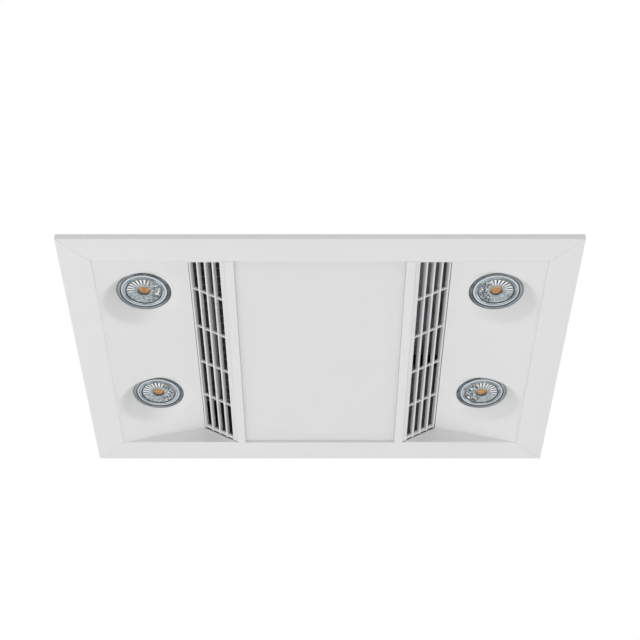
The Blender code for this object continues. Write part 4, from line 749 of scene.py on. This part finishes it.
def panel_details(side):
    """Both ends, the lip along the apex, the lip along the rail and its foot on the ledge."""
    apex = FACE + APEX_RISE
    shapes = panel_end(side, -1) + panel_end(side, 1)
    shapes.append(crossing(side, APEX_X, APEX_X + LIP, apex - LIP_OVERLAP, apex + LIP_TALL))
    shapes.append(crossing(side, PANEL_OUTER - LIP, PANEL_OUTER, FACE + 0.25 * MM, TAB_HIGH))
    shapes.append(crossing(side, PANEL_OUTER - LIP, OPEN_X + TAB_REACH, TAB_LOW, TAB_HIGH))
    return merged(shapes)


for side_name, side in SIDES:
    node = f"lamp_panel_{side_name}"
    both = bmesh.new()
    both.from_mesh(panel_face(side))
    both.from_mesh(panel_details(side))
    panel = bpy.data.meshes.new(node)
    both.to_mesh(panel)
    both.free()
    new_piece(node, panel, plastic)
    print(node, "faces:", len(panel.polygons))

# %% [markdown]
# ## Grilles
# Five blades stand at right angles to a face that climbs with the slope, and thin ribs cross between them,
# set back a little. Boxes turned by the face's angle would do too, but here each object keeps its place in
# its mesh. So blade and rib are outlines in the face's own directions, along it and up from it.

# %% Directions of a grille
GRILLE_INNER, GRILLE_OUTER, LIFT = 85.3 * MM, 118.7 * MM, 0.1 * MM
GRILLE_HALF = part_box("outlet_grille_left")[1][1]
GRILLE_NEAR = GRILLE_HALF + 0.8 * MM
GRILLE_ANGLE = math.atan((APEX_RISE - LIFT * 2) / (GRILLE_OUTER - GRILLE_INNER))
GRILLE_LENGTH = (GRILLE_OUTER - GRILLE_INNER) / math.cos(GRILLE_ANGLE)
print("angle of the grilles in degrees:", round(math.degrees(GRILLE_ANGLE), 1))


def on_grille(side, outline):
    """(x, z) of places given as (along, up): turned by the face's angle about its edge at the bar."""
    along, up = np.asarray(outline, float).T
    cos, sin = math.cos(GRILLE_ANGLE), math.sin(GRILLE_ANGLE)
    x = np.maximum(GRILLE_INNER + along * cos - up * sin, GRILLE_INNER - 3 * GAP)
    return np.stack([side * x, FACE + LIFT + along * sin + up * cos], axis=1)


def grille_bar(side, start, end, bottom, top, radius):
    """A bar's outline, its four edges rounded, in the grille's own directions."""
    corners = [(start, bottom), (end, bottom), (end, top), (start, top)]
    return on_grille(side, rounded(corners, (radius,) * 4, 4))


# %% [markdown]
# ## Blades, ribs and border
# The blades run from end to end. The ribs cross them in even rows that start at the far end, where a low comb
# fills the last gaps. A narrow border strip closes the gap beside the bar. On the right the blades stand a
# little closer to the bar than on the left.

# %% Louvre grilles
BLADES, BLADE_PITCH, BLADE, BLADE_TALL, RIGHT_SHIFT = 5, 8.37 * MM, 1.7 * MM, 5 * MM, 0.25 * MM
ROWS, RIB, RIB_LOW, RIB_HIGH, STUB = 5, 1.5 * MM, 1 * MM, 3 * MM, 3.3 * MM
COMB_LOW, COMB_HIGH, BORDER_LOW, BORDER_HIGH = 1.4 * MM, 3.4 * MM, 0.35 * MM, 1.5 * MM
ROW_PITCH = (GRILLE_HALF * 2 - STUB) / ROWS


def grille_shapes(side):
    """Blades, ribs, comb and border of one grille: outlines carried along the unit's depth."""
    ends = GRILLE_LENGTH - np.arange(BLADES) * BLADE_PITCH - (RIGHT_SHIFT if side > 0 else 0)
    first, last = ends[-1] - BLADE / 2, GRILLE_LENGTH - BLADE / 2
    blades = [grille_bar(side, end - BLADE, end, 0, BLADE_TALL, 0.45 * MM) for end in ends]
    border = grille_bar(side, -0.3 * MM, ends[-1] - BLADE - 0.05 * MM, BORDER_LOW, BORDER_HIGH, 0.1 * MM)
    rib = grille_bar(side, first, last, RIB_LOW, RIB_HIGH, 0.3 * MM)
    comb = grille_bar(side, first, last, COMB_LOW, COMB_HIGH, 0.2 * MM)
    rows = GRILLE_HALF - STUB - np.arange(ROWS) * ROW_PITCH
    shapes = [prism(long_bar, -GRILLE_NEAR, GRILLE_HALF, 1) for long_bar in blades + [border]]
    shapes += [prism(rib, row - RIB / 2, row + RIB / 2, 1) for row in rows]
    return shapes + [prism(comb, GRILLE_HALF - STUB, GRILLE_NEAR, 1)]


for node, side in (("outlet_grille_left", -1), ("intake_grille_right", 1)):
    new_piece(node, merged(grille_shapes(side)), plastic)
print("blade pitch along X in mm:", round(BLADE_PITCH * math.cos(GRILLE_ANGLE) / MM, 2))

# %% [markdown]
# ## Lamp bodies
# A reflector lamp is turned, so one profile of (radius, height) gives its rim, ring, groove, waist and base,
# from the base's middle round to the lens seat. Two pins stand on the base. Heights are measured from the
# lamp's face, upwards into the unit.

# %% Profiles of the body, its pins and the chip
PIN_SPREAD, BASE_HEIGHT = 5 * MM, 46 * MM
base_and_waist = [(0, 46), (9.6, 46), (10, 45.6), (10, 40), (15, 33), (22, 12), (24.6, 3.4), (25, 2.6)]
rim_and_groove = [(25, 0.5), (24.85, 0.15), (24.5, 0), (21.9, 0), (21.7, 0.1), (21.6, 0.3), (21.55, 1.4)]
ring_and_shelf = [(21.2, 1.4), (21.15, 0.4), (21.0, 0.25), (17.2, 0.2), (17.0, 0.3), (16.9, 0.6)]
lens_and_chip_seats = [(16.9, 2.0), (5.6, 2.0), (5.6, 3.9), (0, 3.9)]
body_profile = np.array(base_and_waist + rim_and_groove + ring_and_shelf + lens_and_chip_seats) * MM
pin_profile = np.array([(0, 8.2), (2.0, 8.2), (2.3, 7.9), (2.3, 6.2), (2.1, 6.0), (1.4, 6.0), (1.4, -1),
                        (0, -1)]) * MM
chip_profile = np.array([(0, 1.6), (5.3, 1.6), (5.4, 1.5), (5.4, 0.25), (5.2, 0.08), (4.7, 0), (0, 0)]) * MM
print("lamp body in mm:", body_profile[:, 0].max() * 2 / MM, "across and", BASE_HEIGHT / MM, "tall")

# %% [markdown]
# ## Lenses
# The lens is nearly turned too: its front follows a profile, but facets stand on it, so its height also
# depends on the turn. A second function stores the dial, which every mesh of a lamp carries.

# %% Lens shape and dial
LENS_BACK, FACET_TALL, FACET_STEPS = 1.68 * MM, 0.45 * MM, 8


def with_dial(mesh, centre, side):
    """Stores on every point its place measured from the lamp's axis, X outwards, for the round patterns."""
    spots = np.empty(len(mesh.vertices) * 3)
    mesh.vertices.foreach_get("co", spots)
    spots = (spots.reshape(-1, 3) - centre) * (side, 1, 1)
    mesh.attributes.new("dial", "FLOAT_VECTOR", "POINT").data.foreach_set("vector", spots.ravel())
    return mesh


def lens_shape(centre):
    """Front: base height of the radius plus facet height of the radius times a wave of the turn, which climbs
    and falls once for each facet; back: flat; joined at the rim."""
    radius = np.array([16.6, 16.6, 16.2, 15.4, 13.5, 11.5, 9.5, 8.2, 7.4, 6.0, 4.5, 3.0, 1.5, 0]) * MM
    base = np.array([1.65, 0.7, 0.35, 0.42, 0.5, 0.6, 0.7, 0.8, 0.65, 0.5, 0.42, 0.38, 0.35, 0.34]) * MM
    facet = np.array([0, 0, 0, 0.6, 1, 1, 0.9, 0.5, 0, 0, 0, 0, 0, 0]) * FACET_TALL
    turn = np.linspace(0, math.tau, FACETS * FACET_STEPS, endpoint=False)
    wave = np.abs((turn * FACETS / math.tau) % 1 - 0.5) * 2
    points = np.stack([radius[:, None] * np.cos(turn), radius[:, None] * np.sin(turn),
                       base[:, None] + facet[:, None] * wave], axis=-1)
    back = np.stack([0 * turn, 0 * turn, 0 * turn + LENS_BACK], axis=-1)[None]
    return grid_shape(np.concatenate([back, points]) + centre, ring_columns=True)


print("points of a lens:", len(lens_shape(np.zeros(3))[0]))

# %% [markdown]
# ## All four lamps
# The four lamps differ only in their place, so one loop makes them. It also rounds the edges of the ceramic
# holder above each lamp, and of the screw and the dog of the clamp in the same corner of the unit.

# %% Four lamps, their holders and the clamps
for (end_name, end), (side_name, side) in itertools.product(ENDS, SIDES):
    label = f"{end_name}_{side_name}"
    centre = np.array([side * LAMP_X, end * LAMP_Y, FACE + LAMP_FACE])
    chip_centre = (centre[0], centre[1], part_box(f"lamp_chip_{label}")[0][2])
    pins = [turned(pin_profile, 24, centre + (way * PIN_SPREAD, 0, BASE_HEIGHT)) for way in (-1, 1)]
    shapes = {"body": ([turned(body_profile, 96, centre)] + pins, ring_metal),
              "lens": ([lens_shape(centre)], lens_clear),
              "chip": ([turned(chip_profile, 48, chip_centre)], chip_amber)}
    for part, (part_shapes, finish) in shapes.items():
        node = f"lamp_{part}_{label}"
        mesh = with_dial(merged(part_shapes), centre, side)
        new_piece(node, mesh, finish)
        print(node, "faces:", len(mesh.polygons))
    softened(f"lamp_holder_{label}", steatite, 0.5 * MM)
    softened(f"clamp_dog_{label}", black, 0.5 * MM)
    softened(f"clamp_screw_{label}", bright, 0.3 * MM)

# %% [markdown]
# ## Housing and spigot
# The housing, the casings and the brackets are folded sheet, so their own solids are kept and their folds are
# rounded. The spigot is spun: a flange, a bead that holds the duct and a rolled end. That is a profile
# carried round the duct's axis, with the small stop that the flap closes against.

# %% Housing, brackets and spigot
sheet_parts = {"housing_shell": 0.45 * MM, "lamp_bracket_left": 0.3 * MM, "lamp_bracket_right": 0.3 * MM,
               "terminal_cover": 0.3 * MM, "exhaust_scroll": 0.3 * MM, "exhaust_inlet_plate": 0.3 * MM,
               "heater_casing": 0.3 * MM}
for node, fold in sheet_parts.items():
    softened(node, sheet, fold)
spigot_low, spigot_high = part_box("duct_spigot")
SPIGOT = ((spigot_low[0] + spigot_high[0]) / 2, spigot_low[1], (spigot_low[2] + spigot_high[2]) / 2)
rolled_end = [(47.5, 49.2), (47.7, 49.8), (48.25, 50), (48.8, 49.8), (49, 49.2)]
bead = [(49, 42.5), (49.3, 41.8), (49.8, 40.9), (50, 40), (49.8, 39.1), (49.3, 38.2), (49, 37.5)]
flange = [(49, 2.6), (49.3, 1.8), (50, 1.5), (55.8, 1.5), (56, 1.3), (56, 0.2), (55.8, 0), (47.7, 0),
          (47.5, 0.2)]
spigot_profile = np.array(rolled_end + bead + flange) * MM
stop_low = np.array(SPIGOT) + np.array((-4, 19.4, -48.2)) * MM
stop = block(stop_low, stop_low + np.array((8, 1.5, 4)) * MM)
spigot = merged([turned(spigot_profile, 128, SPIGOT, axis=1, closed=True), stop])
new_piece("duct_spigot", spigot, galvanised)
softened("draught_flap", mill, 0.25 * MM)
softened("flap_pin", bright, 0.2 * MM)
softened("cable_gland", black, 0.4 * MM)
print("sheet parts:", len(sheet_parts), "spigot faces:", len(spigot.polygons))

# %% [markdown]
# ## Parts that stay as they are
# The rest lies behind the grilles or inside the housing, where rounded edges would never be seen. Their own
# solids are enough, each in a finish of its own.

# %% Finishes on the carried-over parts
kept = {mill: ("heater_impeller",), fins: ("heater_element",), frame_grey: ("element_frame",),
        bright: ("exhaust_shaft", "heater_shaft", "motor_screw_1", "motor_screw_2", "motor_screw_3"),
        black: ("exhaust_impeller", "thermal_cutout"), motor_paint: ("exhaust_motor", "heater_motor"),
        bronze: ("heater_bush",), steatite: ("terminal_block",)}
for finish, nodes in kept.items():
    for mesh in (frame["nodes"][node].data for node in nodes):
        mesh.materials.clear()
        mesh.materials.append(finish.material)
print("kept parts:", sum(len(nodes) for nodes in kept.values()))

# %% [markdown]
# ## Plain white for the eye
# The picture's background is plain white, but white walls would also light the unit from all sides. So what
# the camera sees, directly or in a reflection, is parted from what gives light. The node that tells the kind
# of ray makes that possible, for the boards and for the world alike.

# %% Rays that see plain white


def empty_tree(owner):
    """A material's or world's node tree with nothing in it."""
    shade = Nodes(owner)
    shade.tree.nodes.clear()
    return shade


def ray_kind(shade, kind):
    """1 for rays of one kind and 0 for the others."""
    return shade.add("ShaderNodeLightPath", output=f"Is {kind} Ray")


def seen(shade):
    """1 for rays that come from the camera, from a reflection or through glass, and 0 for the others."""
    reflected = ray_kind(shade, "Glossy").highest(ray_kind(shade, "Transmission"))
    return ray_kind(shade, "Camera").highest(reflected)


def board_paint(name, grey, see_through):
    """Diffuse paint for light and plain white where it is seen. If asked, the camera sees through it from
    behind, and the lamps shine through it."""
    paint = bpy.data.materials.new(name)
    shade = empty_tree(paint)
    diffuse = shade.add("ShaderNodeBsdfDiffuse", inputs={"Color": (grey, grey, grey, 1)})
    glow = shade.add("ShaderNodeEmission", inputs={"Color": (1, 1, 1, 1), "Strength": 1.0})
    surface = shade.add("ShaderNodeMixShader", inputs={0: seen(shade), 1: diffuse, 2: glow})
    if see_through:
        behind = shade.add("ShaderNodeNewGeometry", output="Backfacing")
        opened = (behind * ray_kind(shade, "Camera")).highest(ray_kind(shade, "Shadow"))
        clear = shade.add("ShaderNodeBsdfTransparent")
        surface = shade.add("ShaderNodeMixShader", inputs={0: opened, 1: surface, 2: clear})
    result = shade.tree.nodes.new("ShaderNodeOutputMaterial")
    shade.tree.links.new(surface.socket, result.inputs["Surface"])
    return paint


ceiling_paint, floor_paint = board_paint("ceiling_paint", 0.80, True), board_paint("floor_paint", 0.78, False)
print("paints:", ceiling_paint.name, floor_paint.name)

# %% [markdown]
# ## The room
# The unit hangs in a ceiling board, which hides the housing from below as in a real room. Seen from above the
# board lets the view through, so that the housing shows. A pale floor lies far below. Both only stage the
# picture and aren't part of the unit.

# %% Ceiling board and floor
CUT_X, CUT_Y, ROOM, HEAD_ROOM, BOARD_LIFT = 212 * MM, 148 * MM, 3.0, 2.4, 0.02 * MM


def corners_of(half_x, half_y, height):
    """Four corners of a level rectangle round the middle, in a turn seen from above."""
    return [(x * half_x, y * half_y, height) for x, y in ((-1, -1), (1, -1), (1, 1), (-1, 1))]


def board(name, points, faces, material):
    """A thin board that only stages the picture."""
    mesh = bpy.data.meshes.new(name)
    mesh.from_pydata(points, [], faces)
    mesh.materials.append(material)
    flat = bpy.data.objects.new(name, mesh)
    bpy.context.scene.collection.objects.link(flat)
    return flat


hole_and_edge = corners_of(CUT_X, CUT_Y, BOARD_LIFT) + corners_of(ROOM, ROOM, BOARD_LIFT)
downward = [[i, (i + 1) % 4, (i + 1) % 4 + 4, i + 4] for i in range(4)]
ceiling = board("ceiling_board", hole_and_edge, downward, ceiling_paint)
board("floor", corners_of(ROOM, ROOM, -HEAD_ROOM), [[0, 1, 2, 3]], floor_paint)
print("the ceiling board faces down:", all(face.normal.z < 0 for face in ceiling.data.polygons))

# %% [markdown]
# ## Light
# The unit hangs in a soft studio light. A white sky gives an even level, and three large square lamps below
# the ceiling bring out the slopes and the recesses. One strong lamp would throw hard shadows between the
# blades. A fourth lamp above the board lights the housing, for the views from above.

# %% World and lamps
SKY = 0.62
world = bpy.data.worlds.new("studio")
bpy.context.scene.world = world
sky = empty_tree(world)
strength = seen(sky) * (1 - SKY) + SKY
backdrop = sky.add("ShaderNodeBackground", inputs={"Color": (1, 1, 1, 1), "Strength": strength})
sky.tree.links.new(backdrop.socket, sky.tree.nodes.new("ShaderNodeOutputWorld").inputs["Surface"])


def soft_lamp(name, place, aim, size, power):
    """A square area lamp that shines on a point and isn't seen itself."""
    data = bpy.data.lights.new(name, "AREA")
    data.size, data.energy = size, power
    lamp = bpy.data.objects.new(name, data)
    bpy.context.scene.collection.objects.link(lamp)
    lamp.location = place
    lamp.rotation_euler = (Vector(aim) - Vector(place)).to_track_quat("-Z", "Y").to_euler()
    lamp.visible_camera = False
    print("lamp", name, "shines with", power, "W from", place)


soft_lamp("from_below", (0, -0.9, -1.7), (0, 0, 0), 1.6, 8.6)
soft_lamp("from_the_left", (-1.4, 0.3, -1.2), (0, 0, 0), 1.2, 6.4)
soft_lamp("from_the_right", (1.4, 0.6, -1.3), (0, 0, 0), 1.2, 5.0)
soft_lamp("above_the_ceiling", (-0.7, 0.5, 2.0), (0, 0, 0.1), 1.4, 22)

# %% [markdown]
# ## Camera
# The camera looks up at the fascia from the near side. Its focal length in pixels, its place and its pitch
# were fitted to the frame's corners and the four lamps. A pixel count turns into a focal length in
# millimetres through the width of the sensor.

# %% Camera
LENS_PIXELS, IMAGE, SENSOR, PITCH = 1394.0, 640, 36.0, 40.463
camera = bpy.data.objects.new("camera", bpy.data.cameras.new("camera"))
bpy.context.scene.collection.objects.link(camera)
bpy.context.scene.camera = camera
camera.data.sensor_width = SENSOR
camera.data.lens = SENSOR * LENS_PIXELS / IMAGE
camera.location = (0, -1.0368, -0.841)
camera.rotation_euler = (math.radians(90 + PITCH), 0, 0)
bpy.context.scene.view_settings.view_transform = "Standard"
print("focal length in mm:", round(camera.data.lens, 1))

# %% [markdown]
# ## The end
# A finer surface must not outgrow the part that it stands for.
